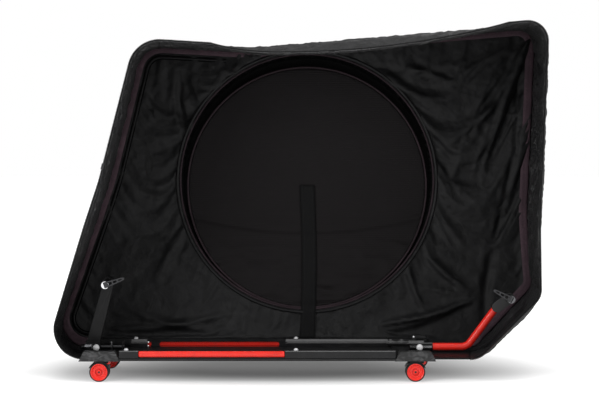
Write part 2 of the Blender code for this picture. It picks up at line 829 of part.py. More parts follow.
def make_rail(name, side):
    """One side rail: a box section with a lower lip outside and a seat for the red bar."""
    length = WHEELBASE - BRACKET_LENGTH - 2 * GAP
    half = RAIL_WIDTH / 2
    profile = (
        (-half, BASE_UNDERSIDE),
        (half + RAIL_LIP_DEPTH, BASE_UNDERSIDE),
        (half + RAIL_LIP_DEPTH, BASE_UNDERSIDE + RAIL_LIP_HEIGHT),
        (half, BASE_UNDERSIDE + RAIL_LIP_HEIGHT),
        (half, BASE_TOP),
        (-half, BASE_TOP),
    )
    outline_points = [(side * y, z) for y, z in profile]
    rail = piece(name, plate_mesh(outline_points, length), BLACK_RAIL,
                 (0, side * RAIL_MIDDLE, 0), (90, 0, 90))
    bevel(rail, RAIL_EDGE, 1)
    seat = box_between(
        (BAR_START, -RAIL_WIDTH, BASE_UNDERSIDE + RAIL_LIP_HEIGHT),
        (BAR_END, RAIL_WIDTH, BASE_TOP + RAIL_WIDTH),
    )
    cut(rail, cutter(seat, (0, side * RAIL_MIDDLE, 0)))
    for x in (REAR_SCREW_X, MIDDLE_SCREW_X):
        hole = rod_mesh(SCREW_SHANK_RADIUS + GAP, 2 * (SCREW_SHANK_LENGTH + GAP), 12)
        cut(rail, cutter(hole, (x, side * SCREW_LINE, BASE_TOP)))
    return rail


def make_bar(name, side):
    """The rounded red bar let into a rail."""
    low = BASE_UNDERSIDE + RAIL_LIP_HEIGHT + GAP
    size = (BAR_END - BAR_START - 2 * GAP, RAIL_WIDTH, BASE_TOP - low)
    bar = piece(name, box_mesh(size), RED_PAINT,
                ((BAR_START + BAR_END) / 2, side * RAIL_MIDDLE, (low + BASE_TOP) / 2))
    bevel(bar, BAR_EDGE, 2)
    return bar


def make_bracket(name, end, side):
    """A marbled block at a corner, with a blind socket for the caster's stem."""
    foot = BRACKET_LENGTH / 2
    top = BRACKET_TOP_LENGTH / 2
    points = ((-foot, 0), (foot, 0), (top, BRACKET_HEIGHT), (-top, BRACKET_HEIGHT))
    at = (end * WHEELBASE / 2, side * (RAIL_INSIDE + BRACKET_WIDTH / 2), BASE_UNDERSIDE)
    bracket = piece(name, plate_mesh(points, BRACKET_WIDTH), MARBLED, at, (90, 0, 0))
    bevel(bracket, BRACKET_EDGE, 2)
    socket = rod_mesh(STEM_RADIUS + GAP, 2 * (STEM_LENGTH + GAP), 20)
    cut(bracket, cutter(socket, (end * WHEELBASE / 2 + TRAIL, side * TRACK / 2, BASE_UNDERSIDE)))
    return bracket


def screw_mesh():
    """A domed screw hanging from its head, which sits on z = 0."""
    dome = [
        (SCREW_HEAD_RADIUS * math.sin(a), GAP + SCREW_HEAD_HEIGHT * math.cos(a))
        for a in (0, math.pi / 6, math.pi / 3, math.pi / 2)
    ]
    profile = dome + [
        (SCREW_SHANK_RADIUS, GAP),
        (SCREW_SHANK_RADIUS, -SCREW_SHANK_LENGTH),
        (0.0, -SCREW_SHANK_LENGTH),
    ]
    return turned_mesh(profile, 12)


def make_screw(name, x, side):
    screw = piece(name, screw_mesh(), SILVER, (x, side * SCREW_LINE, BASE_TOP))
    smooth(screw)
    return screw


def make_cross_member(name, start, end):
    """A flat bar across the floor, from rail to rail, that carries one support."""
    size = (end - start, 2 * (RAIL_INSIDE - GAP), CROSS_WALL)
    at = ((start + end) / 2, 0, FLOOR_TOP + GAP + CROSS_WALL / 2)
    return piece(name, box_mesh(size), BLACK_RAIL, at)


# Casters


def hood_mesh():
    """Arched cover over both wheels, with a middle web down to the axle and a stem above.

    The local origin is on the swivel axis, at the floor.
    """
    inner = WHEEL_RADIUS + HOOD_CLEARANCE
    outer = inner + HOOD_WALL
    half = WEB_THICKNESS / 2 + GAP + WHEEL_WIDTH + GAP
    steps = 12
    turns = [math.radians(180 - HOOD_LIP_ANGLE - (180 - 2 * HOOD_LIP_ANGLE) * i / steps)
             for i in range(steps + 1)]
    rows = [
        [Vector((outer * math.cos(t) - TRAIL, side * half, WHEEL_RADIUS + outer * math.sin(t)))
         for side in (-1, 1)]
        for t in turns
    ]
    hood = cutter(sheet_mesh(rows), parent=None)
    thicken(hood, HOOD_WALL)
    arch = [(outer - HOOD_WALL / 2, turn) for turn in turns]
    boss = [(BOSS_RADIUS, math.radians(a)) for a in (-20, -65, -115, -160)]
    web = [(r * math.cos(t), r * math.sin(t)) for r, t in arch + boss]
    join(hood, cutter(plate_mesh(web, WEB_THICKNESS), (-TRAIL, 0, WHEEL_RADIUS), (90, 0, 0), None))
    foot = WHEEL_RADIUS + inner - STEM_SINK
    top = BASE_UNDERSIDE + STEM_LENGTH
    stem = rod_mesh(STEM_RADIUS, top - foot, 20)
    join(hood, cutter(stem, (0, 0, (top + foot) / 2), parent=None))
    bore = rod_mesh(AXLE_RADIUS + GAP, 2 * WEB_THICKNESS, 20)
    cut(hood, cutter(bore, (-TRAIL, 0, WHEEL_RADIUS), (90, 0, 0), None))
    return evaluated_mesh(hood)


def tyre_mesh():
    """One tyre, on the +Z side of the web."""
    low = WEB_THICKNESS / 2 + GAP
    high = low + WHEEL_WIDTH - GAP
    inside = WHEEL_RADIUS - TYRE_WALL
    loop = [
        (WHEEL_RADIUS - TYRE_CROWN, high),
        (WHEEL_RADIUS, high - TYRE_CROWN),
        (WHEEL_RADIUS, low + TYRE_CROWN),
        (WHEEL_RADIUS - TYRE_CROWN, low),
        (inside, low),
        (inside, high),
    ]
    return turned_mesh(loop, WHEEL_STEPS)


def hub_mesh():
    """Two dished wheel discs on their shared axle, turned as one spool."""
    low = WEB_THICKNESS / 2 + 2 * GAP
    high = low + WHEEL_WIDTH - 3 * GAP
    rim = WHEEL_RADIUS - TYRE_WALL - GAP
    cap = high - HUB_CAP_SET_BACK
    half = [
        (0.0, cap),
        (HUB_CAP_RADIUS, cap),
        (HUB_CAP_RADIUS + RIM_FLANGE, high - HUB_DISH),
        (rim - 2 * RIM_FLANGE, high - HUB_DISH),
        (rim - RIM_FLANGE, high),
        (rim, high),
        (rim, low),
        (AXLE_RADIUS, low),
    ]
    return turned_mesh(half + [(r, -z) for r, z in reversed(half)], WHEEL_STEPS)


def axle_mesh(radius, length):
    chamfer = radius / 4
    half = length / 2
    profile = [
        (0.0, half),
        (radius - chamfer, half),
        (radius, half - chamfer),
        (radius, chamfer - half),
        (radius - chamfer, -half),
        (0.0, -half),
    ]
    return turned_mesh(profile, 20)


def make_casters():
    hood = hood_mesh()
    tyre = tyre_mesh()
    hub = hub_mesh()
    for row, side in (("near", -1), ("far", 1)):
        for end_name, end in (("rear", -1), ("front", 1)):
            label = f"{row}_{end_name}"
            swivel = empty(f"swivel_{label}", (end * WHEELBASE / 2 + TRAIL, side * TRACK / 2, 0))
            turned_about = label == TURNED_CASTER
            hood_turn = (0, 0, 180 if turned_about else 0)
            wheel_at = (TRAIL if turned_about else -TRAIL, 0, WHEEL_RADIUS)
            for name, mesh, material, at, turn in (
                ("caster_hood", hood, BLACK_PLASTIC, (0, 0, 0), hood_turn),
                ("caster_near_tyre", tyre, TYRE_RUBBER, wheel_at, (90, 0, 0)),
                ("caster_far_tyre", tyre, TYRE_RUBBER, wheel_at, (-90, 0, 0)),
                ("caster_hub", hub, RED_PLASTIC, wheel_at, (90, 0, 0)),
            ):
                made = piece(f"{name}_{label}", mesh.copy(), material, at, turn, swivel)
                smooth(made)


# Fork support


def tube_route():
    """Middle line of the bent fork tube in x and z: level, round the bend, and up."""
    angle = math.radians(TUBE_ANGLE)
    reach = TUBE_BEND * math.tan(angle / 2)
    steps = 6
    route = [(TUBE_START, SUPPORT_HEIGHT)]
    for i in range(steps + 1):
        turn = angle * i / steps
        route.append((
            TUBE_CORNER_X - reach + TUBE_BEND * math.sin(turn),
            SUPPORT_HEIGHT + TUBE_BEND * (1 - math.cos(turn)),
        ))
    route.append(tube_top())
    return route


def tube_top():
    angle = math.radians(TUBE_ANGLE)
    return (
        TUBE_CORNER_X + TUBE_RISE * math.cos(angle),
        SUPPORT_HEIGHT + TUBE_RISE * math.sin(angle),
    )


def fork_axle_place():
    x, z = tube_top()
    return (x + HEAD_OFFSET[0], z + HEAD_OFFSET[1])


def make_sleeve():
    """Black sleeve on the front cross member, with a clamp block and two ears on top."""
    length = SLEEVE_END - SLEEVE_START
    middle = (SLEEVE_START + SLEEVE_END) / 2
    at = (middle, 0, SUPPORT_HEIGHT)
    sleeve = piece("fork_sleeve", rod_mesh(SLEEVE_RADIUS, length, 28), BLACK_PLASTIC, at, (0, 90, 0))
    block_top = SUPPORT_HEIGHT + SLEEVE_RADIUS + BLOCK_HEIGHT
    block = box_between(
        (BLOCK_START, -BLOCK_HALF_WIDTH, SUPPORT_HEIGHT),
        (BLOCK_START + BLOCK_LENGTH, BLOCK_HALF_WIDTH, block_top),
    )
    join(sleeve, cutter(block))
    for low_y in (-BLOCK_HALF_WIDTH, BLOCK_HALF_WIDTH - CLAMP_EAR_WALL):
        ear = box_between(
            (BLOCK_START, low_y, block_top - JOIN_DEPTH),
            (BLOCK_START + CLAMP_EAR_LENGTH, low_y + CLAMP_EAR_WALL, CLAMP_PIVOT_HEIGHT + CLAMP_EAR_EDGE),
        )
        join(sleeve, cutter(ear))
    pin = rod_mesh(CLAMP_PIN_RADIUS, 2 * BLOCK_HALF_WIDTH - CLAMP_EAR_WALL, 10)
    join(sleeve, cutter(pin, clamp_pivot(), (90, 0, 0)))
    bore = rod_mesh(TUBE_RADIUS + GAP, 2 * length, 28)
    cut(sleeve, cutter(bore, at, (0, 90, 0)))
    return sleeve


def clamp_pivot():
    return (BLOCK_START + CLAMP_EAR_LENGTH / 2, 0, CLAMP_PIVOT_HEIGHT)


def make_clamp_lever():
    """Flag lever on the sleeve, turning on its pin: it lies towards +X when it is shut."""
    boss = CLAMP_BOSS_RADIUS
    turns = [math.radians(angle) for angle in (90, 135, 180, 225, 270)]
    points = [(boss * math.cos(turn), boss * math.sin(turn)) for turn in turns]
    points += [(CLAMP_LEVER_LENGTH * along, boss * up) for along, up in CLAMP_FLAG]
    width = 2 * (BLOCK_HALF_WIDTH - CLAMP_EAR_WALL - 2 * GAP)
    shape = plate_mesh(points, width)
    lever = piece("sleeve_clamp_lever", shape, BLACK_PLASTIC, clamp_pivot(), (90, 0, 0))
    hole = rod_mesh(CLAMP_PIN_RADIUS + GAP, 4 * width, 10)
    cut(lever, cutter(hole, clamp_pivot(), (90, 0, 0)))
    return lever


def knob_mesh():
    """Domed turning knob: its head faces +Z and its shank goes down to z = 0."""
    rim = KNOB_NECK + KNOB_RIM
    dome = [
        (KNOB_RADIUS * math.sin(a), rim + (KNOB_DEPTH - rim) * math.cos(a))
        for a in (0, math.pi / 6, math.pi / 3, math.pi / 2)
    ]
    shank = KNOB_RADIUS / 2
    profile = dome + [(KNOB_RADIUS, KNOB_NECK), (shank, KNOB_NECK), (shank, 0), (0, 0)]
    return turned_mesh(profile, 24)


def make_front_knob():
    at = (FRONT_KNOB_X, -SLEEVE_RADIUS - GAP, SUPPORT_HEIGHT)
    knob = piece("front_knob", knob_mesh(), SILVER, at, (90, 0, 0))
    smooth(knob)
    return knob


def make_fork_group():
    """Red bent tube that slides in the sleeve, with its head, dummy hub, skewer, nut and lever."""
    x, z = fork_axle_place()
    slide = empty("fork_slide", (x, 0, z))
    top = tube_top()
    route = [Vector((px - x, 0, pz - z)) for px, pz in tube_route()]
    tube = piece("fork_tube", tube_mesh(route, TUBE_RADIUS, 4), RED_PAINT, parent=slide)
    smooth(tube)
    make_fork_head(slide, (top[0] - x, top[1] - z))
    axle_length = FORK_HUB + 2 * DROPOUT_STUB
    shape = axle_mesh(DROPOUT_RADIUS, axle_length)
    axle = piece("fork_axle", shape, SILVER, turn=(90, 0, 0), parent=slide)
    cut(axle, cutter(rod_mesh(SKEWER_RADIUS + GAP, 2 * FORK_HUB, 16), turn=(90, 0, 0), parent=slide))
    cam_y = -axle_length / 2 - GAP - HEAD_DISC_LENGTH
    nut_y = axle_length / 2 + GAP
    end_y = nut_y + NUT_LENGTH / 2
    skewer = rod_mesh(SKEWER_RADIUS, end_y - cam_y, 16)
    rod = piece("fork_skewer", skewer, GREY_METAL, (0, (cam_y + end_y) / 2, 0), (90, 0, 0), slide)
    join(rod, cutter(nut_mesh(), (0, nut_y, 0), (-90, 0, 0), slide))
    join(rod, head_disc(cam_y, slide))
    make_cam_lever("fork_cam_lever", slide, (0, cam_y, 0), LEVER_ANGLE)


def nut_mesh():
    """A skewer's tapered nut, with its wide face on z = 0."""
    profile = [
        (0.0, NUT_LENGTH),
        (NUT_RADIUS * NUT_TAPER, NUT_LENGTH),
        (NUT_RADIUS, NUT_LENGTH * NUT_RIM),
        (NUT_RADIUS, 0.0),
        (0.0, 0.0),
    ]
    return turned_mesh(profile, 16)


def make_fork_head(slide, top):
    """Black head from the tube's top end to the dummy hub, with a socket for the tube."""
    points = []
    lean = math.atan2(-top[1], -top[0])
    for centre, start in (((0.0, 0.0), lean - math.pi / 2), (top, lean + math.pi / 2)):
        for i in range(7):
            turn = start + math.pi * i / 6
            points.append((centre[0] + HEAD_ROUND * math.cos(turn),
                           centre[1] + HEAD_ROUND * math.sin(turn)))
    head = piece("fork_head", plate_mesh(points, HEAD_THICKNESS), BLACK_PLASTIC,
                 turn=(90, 0, 0), parent=slide)
    boss = rod_mesh(HUB_BOSS_RADIUS, FORK_HUB - 2 * GAP, 24)
    join(head, cutter(boss, turn=(90, 0, 0), parent=slide))
    bore = rod_mesh(DROPOUT_RADIUS + GAP, 2 * FORK_HUB, 20)
    cut(head, cutter(bore, turn=(90, 0, 0), parent=slide))
    angle = math.radians(TUBE_ANGLE)
    along = Vector((math.cos(angle), 0, math.sin(angle)))
    depth = 4 * HEAD_ROUND
    middle = Vector((top[0], 0, top[1])) + along * (GAP - depth / 2)
    socket = rod_mesh(TUBE_RADIUS + GAP, depth, 28)
    cut(head, cutter(socket, middle, (0, 90 - TUBE_ANGLE, 0), slide))
    return head


def make_cam_lever(name, parent, at, angle):
    """A quick-release lever in front of a skewer's head, shut along the given angle in x and z.

    It turns on a barrel that lies across it, in the middle of its thickness.
    """
    edge = [(LEVER_LENGTH * along, LEVER_WIDTH / 2 * share) for along, share in LEVER_TAPER]
    outline_points = [(x, -y) for x, y in edge] + edge[::-1]
    place = (at[0], at[1] - GAP - LEVER_WALL / 2, at[2])
    paddle = plate_mesh(outline_points, LEVER_WALL * LEVER_PADDLE)
    lever = piece(name, paddle, GREY_METAL, place, (90, -angle, 0), parent)
    barrel = rod_mesh(LEVER_WALL / 2, LEVER_WIDTH, 16)
    join(lever, cutter(barrel, place, (0, 180 - angle, 0), parent))
    return lever


def head_disc(y, parent):
    """The round cam housing on a skewer's near end, from y towards the axle."""
    disc = rod_mesh(HEAD_DISC_RADIUS, HEAD_DISC_LENGTH, 24)
    return cutter(disc, (0, y + HEAD_DISC_LENGTH / 2, 0), (90, 0, 0), parent)


# Rear support


def make_rear_guide():
    """Light round bar between two thin ears on the rear cross member."""
    length = GUIDE_END - GUIDE_START
    middle = (GUIDE_START + GUIDE_END) / 2
    at = (middle, 0, SUPPORT_HEIGHT)
    guide = piece("rear_guide_bar", rod_mesh(GUIDE_RADIUS, length, 24), SILVER, at, (0, 90, 0))
    smooth(guide)
    return guide


def make_rear_cross_member():
    member = make_cross_member("rear_cross_member", *REAR_CROSS)
    half = GUIDE_RADIUS + GUIDE_EAR_EDGE
    for x in GUIDE_EARS:
        ear = box_between(
            (x - GUIDE_EAR_WALL / 2, -half, FLOOR_TOP + CROSS_WALL / 2),
            (x + GUIDE_EAR_WALL / 2, half, SUPPORT_HEIGHT + half),
        )
        join(member, cutter(ear))
    middle = ((GUIDE_START + GUIDE_END) / 2, 0, SUPPORT_HEIGHT)
    bore = rod_mesh(GUIDE_RADIUS + GAP, 2 * (GUIDE_END - GUIDE_START), 24)
    cut(member, cutter(bore, middle, (0, 90, 0)))
    return member


def make_rear_group():
    """Dark stand that slides along the guide bar and holds the frame's rear dropouts."""
    slide = empty("rear_slide", (REAR_AXLE_X, 0, REAR_AXLE_HEIGHT))
    foot_x = STAND_BLOCK_START + STAND_BLOCK_LENGTH / 2 - REAR_AXLE_X
    drop = SUPPORT_HEIGHT - REAR_AXLE_HEIGHT
    half = STAND_BLOCK_LENGTH / 2
    underside = FLOOR_TOP + GAP + CROSS_WALL + 2 * GAP
    block = box_between(
        (foot_x - half, -STAND_BLOCK_HALF_WIDTH, underside - REAR_AXLE_HEIGHT),
        (foot_x + half, STAND_BLOCK_HALF_WIDTH, STAND_BLOCK_TOP - REAR_AXLE_HEIGHT),
    )
    stand = piece("rear_stand", block, BLACK_RAIL, parent=slide)
    turns = [math.radians(angle) for angle in range(-20, 201, 20)]
    points = [(STAND_HEAD_RADIUS * math.cos(t), STAND_HEAD_RADIUS * math.sin(t)) for t in turns]
    foot_top = STAND_BLOCK_TOP - REAR_AXLE_HEIGHT - JOIN_DEPTH
    points += [(foot_x - STAND_FOOT_WIDTH / 2, foot_top), (foot_x + STAND_FOOT_WIDTH / 2, foot_top)]
    join(stand, cutter(plate_mesh(points, STAND_THICKNESS), turn=(90, 0, 0), parent=slide))
    boss = rod_mesh(REAR_BOSS_RADIUS, REAR_HUB - 2 * GAP, 24)
    join(stand, cutter(boss, turn=(90, 0, 0), parent=slide))
    axle_bore = rod_mesh(DROPOUT_RADIUS + GAP, 2 * REAR_HUB, 20)
    cut(stand, cutter(axle_bore, turn=(90, 0, 0), parent=slide))
    guide_bore = rod_mesh(GUIDE_RADIUS + GAP, 4 * STAND_BLOCK_LENGTH, 24)
    cut(stand, cutter(guide_bore, (foot_x, 0, drop), (0, 90, 0), slide))
    axle_length = REAR_HUB + 2 * DROPOUT_STUB
    shape = axle_mesh(DROPOUT_RADIUS, axle_length)
    axle = piece("rear_axle", shape, SILVER, turn=(90, 0, 0), parent=slide)
    cam_y = -axle_length / 2 - HEAD_DISC_LENGTH + AXLE_JOIN
    nut_y = axle_length / 2 - AXLE_JOIN
    join(axle, head_disc(cam_y, slide))
    join(axle, cutter(nut_mesh(), (0, nut_y, 0), (-90, 0, 0), slide))
    make_cam_lever("rear_cam_lever", slide, (0, cam_y, 0), REAR_LEVER_ANGLE)
    at = (foot_x + REAR_KNOB_OFFSET, -STAND_BLOCK_HALF_WIDTH - GAP, drop)
    knob = piece("rear_knob", knob_mesh(), SILVER, at, (90, 0, 0), slide)
    smooth(knob)


def main():
    make_floor_panel()
    make_rear_end_panel()
    make_top_panel()
    make_front_end_panel()
    make_toe_panel()
    make_back_panel()
    make_divider()
    make_strap()
    make_gusset()
    make_cover()
    make_pocket_zip()
    make_pocket_zip_slider()
    make_seam_tape()
    make_rim_zip()
    make_rim_zip_slider()
    make_grab_handle("rear_grab_handle", *REAR_HANDLE)
    make_grab_handle("front_grab_handle", *FRONT_HANDLE)
    for side_name, side in (("near", -1), ("far", 1)):
        make_rail(f"{side_name}_rail", side)
        make_bar(f"{side_name}_bar", side)
        make_screw(f"rail_screw_{side_name}_rear", REAR_SCREW_X, side)
        make_screw(f"rail_screw_{side_name}_middle", MIDDLE_SCREW_X, side)
        for end_name, end in (("rear", -1), ("front", 1)):
            make_bracket(f"bracket_{side_name}_{end_name}", end, side)
    make_rear_cross_member()
    make_cross_member("front_cross_member", *FRONT_CROSS)
    make_casters()
    make_sleeve()
    make_clamp_lever()
    make_front_knob()
    make_fork_group()
    make_rear_guide()
    make_rear_group()


main()
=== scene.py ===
"""Finishes, sewn cloth, stitches, zips and stage for a soft bike travel case on a caster base.

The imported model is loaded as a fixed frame. Each operator dresses one group of its pieces, and the
stage operator adds the floor, the lights and the camera. Lengths are in metres. Shapes are worked out
in the case's own frame, where x = 0 is the middle of the wheelbase and y = 0 the middle of the base,
and are moved to the model's frame when they become pieces.
"""

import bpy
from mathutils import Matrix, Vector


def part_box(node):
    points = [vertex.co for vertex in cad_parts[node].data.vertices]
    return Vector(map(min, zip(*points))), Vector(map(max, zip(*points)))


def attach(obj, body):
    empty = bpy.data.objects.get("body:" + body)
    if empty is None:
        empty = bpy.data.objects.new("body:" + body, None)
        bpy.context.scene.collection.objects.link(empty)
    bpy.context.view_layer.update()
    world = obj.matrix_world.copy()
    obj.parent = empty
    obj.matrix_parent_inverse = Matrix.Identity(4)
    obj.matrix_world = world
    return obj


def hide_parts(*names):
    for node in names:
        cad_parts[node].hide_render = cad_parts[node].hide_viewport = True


bl_info = {
    "name": "Bike travel case",
    "version": (1, 0, 0),
    "blender": (4, 5, 0),
    "location": "3D View > Sidebar > Travel case",
    "description": "Dresses a soft bike travel case and sets up its studio",
    "category": "Object",
}

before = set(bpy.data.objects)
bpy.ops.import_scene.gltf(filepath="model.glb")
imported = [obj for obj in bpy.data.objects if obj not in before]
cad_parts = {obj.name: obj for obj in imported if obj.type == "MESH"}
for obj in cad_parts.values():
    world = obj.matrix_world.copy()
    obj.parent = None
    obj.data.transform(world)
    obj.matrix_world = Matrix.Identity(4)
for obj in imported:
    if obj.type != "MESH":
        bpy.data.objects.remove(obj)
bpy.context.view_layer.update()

import math

import bmesh
import bpy
import numpy as np
from mathutils import Matrix, Vector, kdtree, noise
from mathutils.geometry import delaunay_2d_cdt

NEAR_RAIL = [Vector(corner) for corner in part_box("near_rail")]
FAR_RAIL = [Vector(corner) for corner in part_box("far_rail")]
# The case's own frame inside the model's: middle of the wheelbase, middle of the base, floor
BASE = Vector(((NEAR_RAIL[0].x + NEAR_RAIL[1].x) / 2, (NEAR_RAIL[0].y + FAR_RAIL[1].y) / 2, 0))

# Shell
GAP = 0.0003
BASE_UNDERSIDE = 0.056
BASE_TOP = 0.083
KNUCKLE_HEIGHT = 0.430
SIDE_LINE = ((BASE_UNDERSIDE, 0.1125), (BASE_TOP, 0.1328), (KNUCKLE_HEIGHT, 0.200))
SHELL_WALL = 0.004
FAR_GROWTH = 0.030
SHOULDER = 0.070
RIM_SAG = 0.034
RIM_SAG_START = -0.120
RIM_SAG_END = 0.660
RIM_SAG_FLOOR = 0.816
# Corners of the open rim: x, z, rounding radius, and the way they move as the outline grows
CORNERS = (
    (-0.578, BASE_UNDERSIDE, 0.085, -1, 0),
    (-0.416, 0.544, 0.500, -1, 0),
    (-0.319, 0.918, 0.085, -1, 0.6),
    (-0.026, 0.900, 1.000, 0, 0.6),
    (0.7705, 0.969, 0.055, 1, 0.6),
    (0.7495, KNUCKLE_HEIGHT, 0.800, 1, 0),
    (0.7600, 0.2300, 0.050, 1, 0),
    (0.5965, BASE_UNDERSIDE, 0.050, 0.8, 0),
)
SEAT_REACH = 0.4793

# Wheel pocket
POCKET_X = 0.136
POCKET_Z = 0.533
POCKET_RADIUS = 0.367
COVER_Y = 0.285
POCKET_CROWN = 0.012
DIVIDER_WALL = 0.008
INNER_RING_RADIUS = 0.346
INNER_RING_DROP = 0.017

# Middle of the fork sleeve and of the rear guide bar
SUPPORT_HEIGHT = 0.0764


def flare(z):
    """Half width of the shell at height z."""
    if z <= SIDE_LINE[0][0]:
        return SIDE_LINE[0][1]
    for (low, narrow), (high, wide) in zip(SIDE_LINE, SIDE_LINE[1:]):
        if z <= high:
            return narrow + (wide - narrow) * (z - low) / (high - low)
    return SIDE_LINE[-1][1]


def smooth_step(low, high, value):
    share = min(max((value - low) / (high - low), 0.0), 1.0)
    return share * share * (3 - 2 * share)


def corner_arc(before, corner, after, count):
    """Points of the arc that rounds one corner, clockwise as the near side sees it."""
    point = Vector(corner[:2])
    back = (Vector(before[:2]) - point).normalized()
    ahead = (Vector(after[:2]) - point).normalized()
    half = back.angle(ahead) / 2
    reach = corner[2] / math.tan(half)
    centre = point + (back + ahead).normalized() * corner[2] / math.sin(half)
    start = point + back * reach - centre
    turn = start.angle_signed(point + ahead * reach - centre)
    return [centre + Matrix.Rotation(-turn * i / count, 2) @ start for i in range(count + 1)]


def grown(growth):
    return [(x + growth * gx, z + growth * gz, r) for x, z, r, gx, gz in CORNERS]


def outline(growth, inset, spacing, first=0, last=7):
    """Points (x, z) from one corner's arc to another's. Their number doesn't depend on growth.

    The last arc is left out, down to its first point, when last is a half.
    """
    whole = math.floor(last)
    plain = grown(0.0)
    corners = grown(growth)
    size = len(corners)
    points = []
    for i in range(first, math.ceil(last) + 1):
        around = [(i - 1) % size, i % size, (i + 1) % size]
        rough = corner_arc(*[plain[k] for k in around], 4)
        length = sum((b - a).length for a, b in zip(rough, rough[1:]))
        arc = corner_arc(*[corners[k] for k in around], max(3, math.ceil(length / spacing)))
        if points:
            plain_run = (Vector(plain[around[0]][:2]) - Vector(plain[around[1]][:2])).length
            count = max(2, math.ceil(plain_run / spacing))
            here = points[-1]
            points += [here.lerp(arc[0], step / count) for step in range(1, count)]
        points += arc if i <= whole else arc[:1]
    inward = []
    for i in range(len(points)):
        tangent = (points[min(i + 1, len(points) - 1)] - points[max(i - 1, 0)]).normalized()
        inward.append(Vector((tangent.y, -tangent.x)))
    return [point + way * inset for point, way in zip(points, inward)]


def rim_sag(x, z):
    """How far the open rim hangs at x, along the top only."""
    share = (x - RIM_SAG_START) / (RIM_SAG_END - RIM_SAG_START)
    if z < RIM_SAG_FLOOR or not 0 < share < 1:
        return 0.0
    return RIM_SAG * math.sin(math.pi * share) ** 0.8


def near_rim(point):
    """The rim's place in space at one point of the plain outline."""
    return Vector((point.x, -flare(point.y), point.y - rim_sag(point.x, point.y)))


# Sizes and colours that a user may change


def length_setting(label, text, default, low, high):
    return bpy.props.FloatProperty(
        name=label, description=text, default=default, min=low, max=high, unit="LENGTH",
    )


def colour_setting(label, text, default):
    return bpy.props.FloatVectorProperty(
        name=label, description=text, subtype="COLOR", size=3, default=default,
    )


class CaseSizes(bpy.types.PropertyGroup):
    """Sizes of the cloth and of what is sewn on it."""

    cloth_spacing: length_setting(
        "Cloth spacing", "Distance between the points of a sheet", 0.0068, 0.004, 0.03)
    slack: bpy.props.FloatProperty(
        name="Slack", description="Share of spare cloth that the panels take up in folds",
        default=0.014, min=0.0, max=0.05, subtype="FACTOR",
    )
    crinkle: length_setting("Crinkle", "Height of the small creases in the cloth", 0.0016, 0.0, 0.005)
    piping_radius: length_setting(
        "Piping radius", "Radius of the corded edge round the wheel pocket", 0.0028, 0.001, 0.006)
    stitch_pitch: length_setting("Stitch pitch", "Distance from one stitch to the next", 0.0042, 0.002, 0.01)
    stitch_length: length_setting("Stitch length", "Length of one stitch that shows", 0.0030, 0.001, 0.008)
    thread_radius: length_setting("Thread radius", "Radius of the sewing thread", 0.00035, 0.0001, 0.001)
    tooth_pitch: length_setting(
        "Tooth pitch", "Distance from one zip tooth to the next", 0.0026, 0.001, 0.006)


class CaseColours(bpy.types.PropertyGroup):
    """Colours of the finishes."""

    nylon: colour_setting("Nylon", "Shell cloth", (0.0062, 0.0062, 0.0065))
    lining: colour_setting("Lining", "Mesh cloth of the pocket divider", (0.0041, 0.0033, 0.0036))
    binding: colour_setting("Binding", "Seam binding and piping", (0.0500, 0.0310, 0.0390))
    red: colour_setting("Red", "Painted bars and moulded wheels", (0.88, 0.026, 0.015))
    metal: colour_setting("Metal", "Bright screws and knobs", (0.72, 0.72, 0.73))


class StageSettings(bpy.types.PropertyGroup):
    """Where the photograph was taken from."""

    eye_distance: length_setting(
        "Eye distance", "From the camera to the middle plane of the base", 4.2, 1.0, 20.0)
    eye_height: length_setting("Eye height", "Height of the camera over the floor", 0.623, 0.0, 3.0)
    eye_along: length_setting(
        "Eye along", "How far the camera stands towards the fork end", 0.104, -2.0, 2.0)
    lens: bpy.props.FloatProperty(
        name="Lens", description="Focal length on a 36 mm wide sensor",
        default=90.96, min=20.0, max=300.0, subtype="DISTANCE_CAMERA",
    )
    pitch: bpy.props.FloatProperty(
        name="Pitch", description="How far the camera looks down",
        default=math.radians(1.89), subtype="ANGLE",
    )
    yaw: bpy.props.FloatProperty(
        name="Yaw", description="How far the camera is turned towards the fork end",
        default=math.radians(0.151), subtype="ANGLE",
    )


# Shader groups


def shader_group(name, inputs, outputs):
    """An empty shader group with named sockets: (name, socket type, default)."""
    tree = bpy.data.node_groups.new(name, "ShaderNodeTree")
    for label, kind, default in inputs:
        socket = tree.interface.new_socket(name=label, in_out="INPUT", socket_type=kind)
        if default is not None:
            socket.default_value = default
    for label, kind in outputs:
        tree.interface.new_socket(name=label, in_out="OUTPUT", socket_type=kind)
    enter = tree.nodes.new("NodeGroupInput")
    leave = tree.nodes.new("NodeGroupOutput")
    return tree, enter, leave


def feed(tree, socket, value):
    """Link a socket to an input, or set the input to a plain value."""
    if isinstance(value, bpy.types.NodeSocket):
        tree.links.new(value, socket)
    else:
        socket.default_value = value


def add_node(tree, kind, settings=None, **inputs):
    """A node with these settings, its inputs linked to sockets or set to plain values."""
    node = tree.nodes.new(kind)
    for label, value in (settings or {}).items():
        setattr(node, label, value)
    for label, value in inputs.items():
        feed(tree, node.inputs[label.replace("_", " ")], value)
    return node


def math_node(tree, operation, *values, clamp=False):
    """A Math node fed by sockets or plain numbers, as its output socket."""
    node = add_node(tree, "ShaderNodeMath", {"operation": operation, "use_clamp": clamp})
    for socket, value in zip(node.inputs, values):
        feed(tree, socket, value)
    return node.outputs[0]


def noise_node(tree, vector, scale, detail=3.0, distortion=0.0):
    return add_node(tree, "ShaderNodeTexNoise", Vector=vector, Scale=scale, Detail=detail,
                    Distortion=distortion).outputs["Fac"]


def range_node(tree, value, low, high, start=0.0, end=1.0, smooth=False):
    """Map a value from start..end to low..high, as an output socket."""
    settings = {"interpolation_type": "SMOOTHSTEP"} if smooth else {}
    return add_node(tree, "ShaderNodeMapRange", settings, Value=value, From_Min=start, From_Max=end,
                    To_Min=low, To_Max=high).outputs[0]


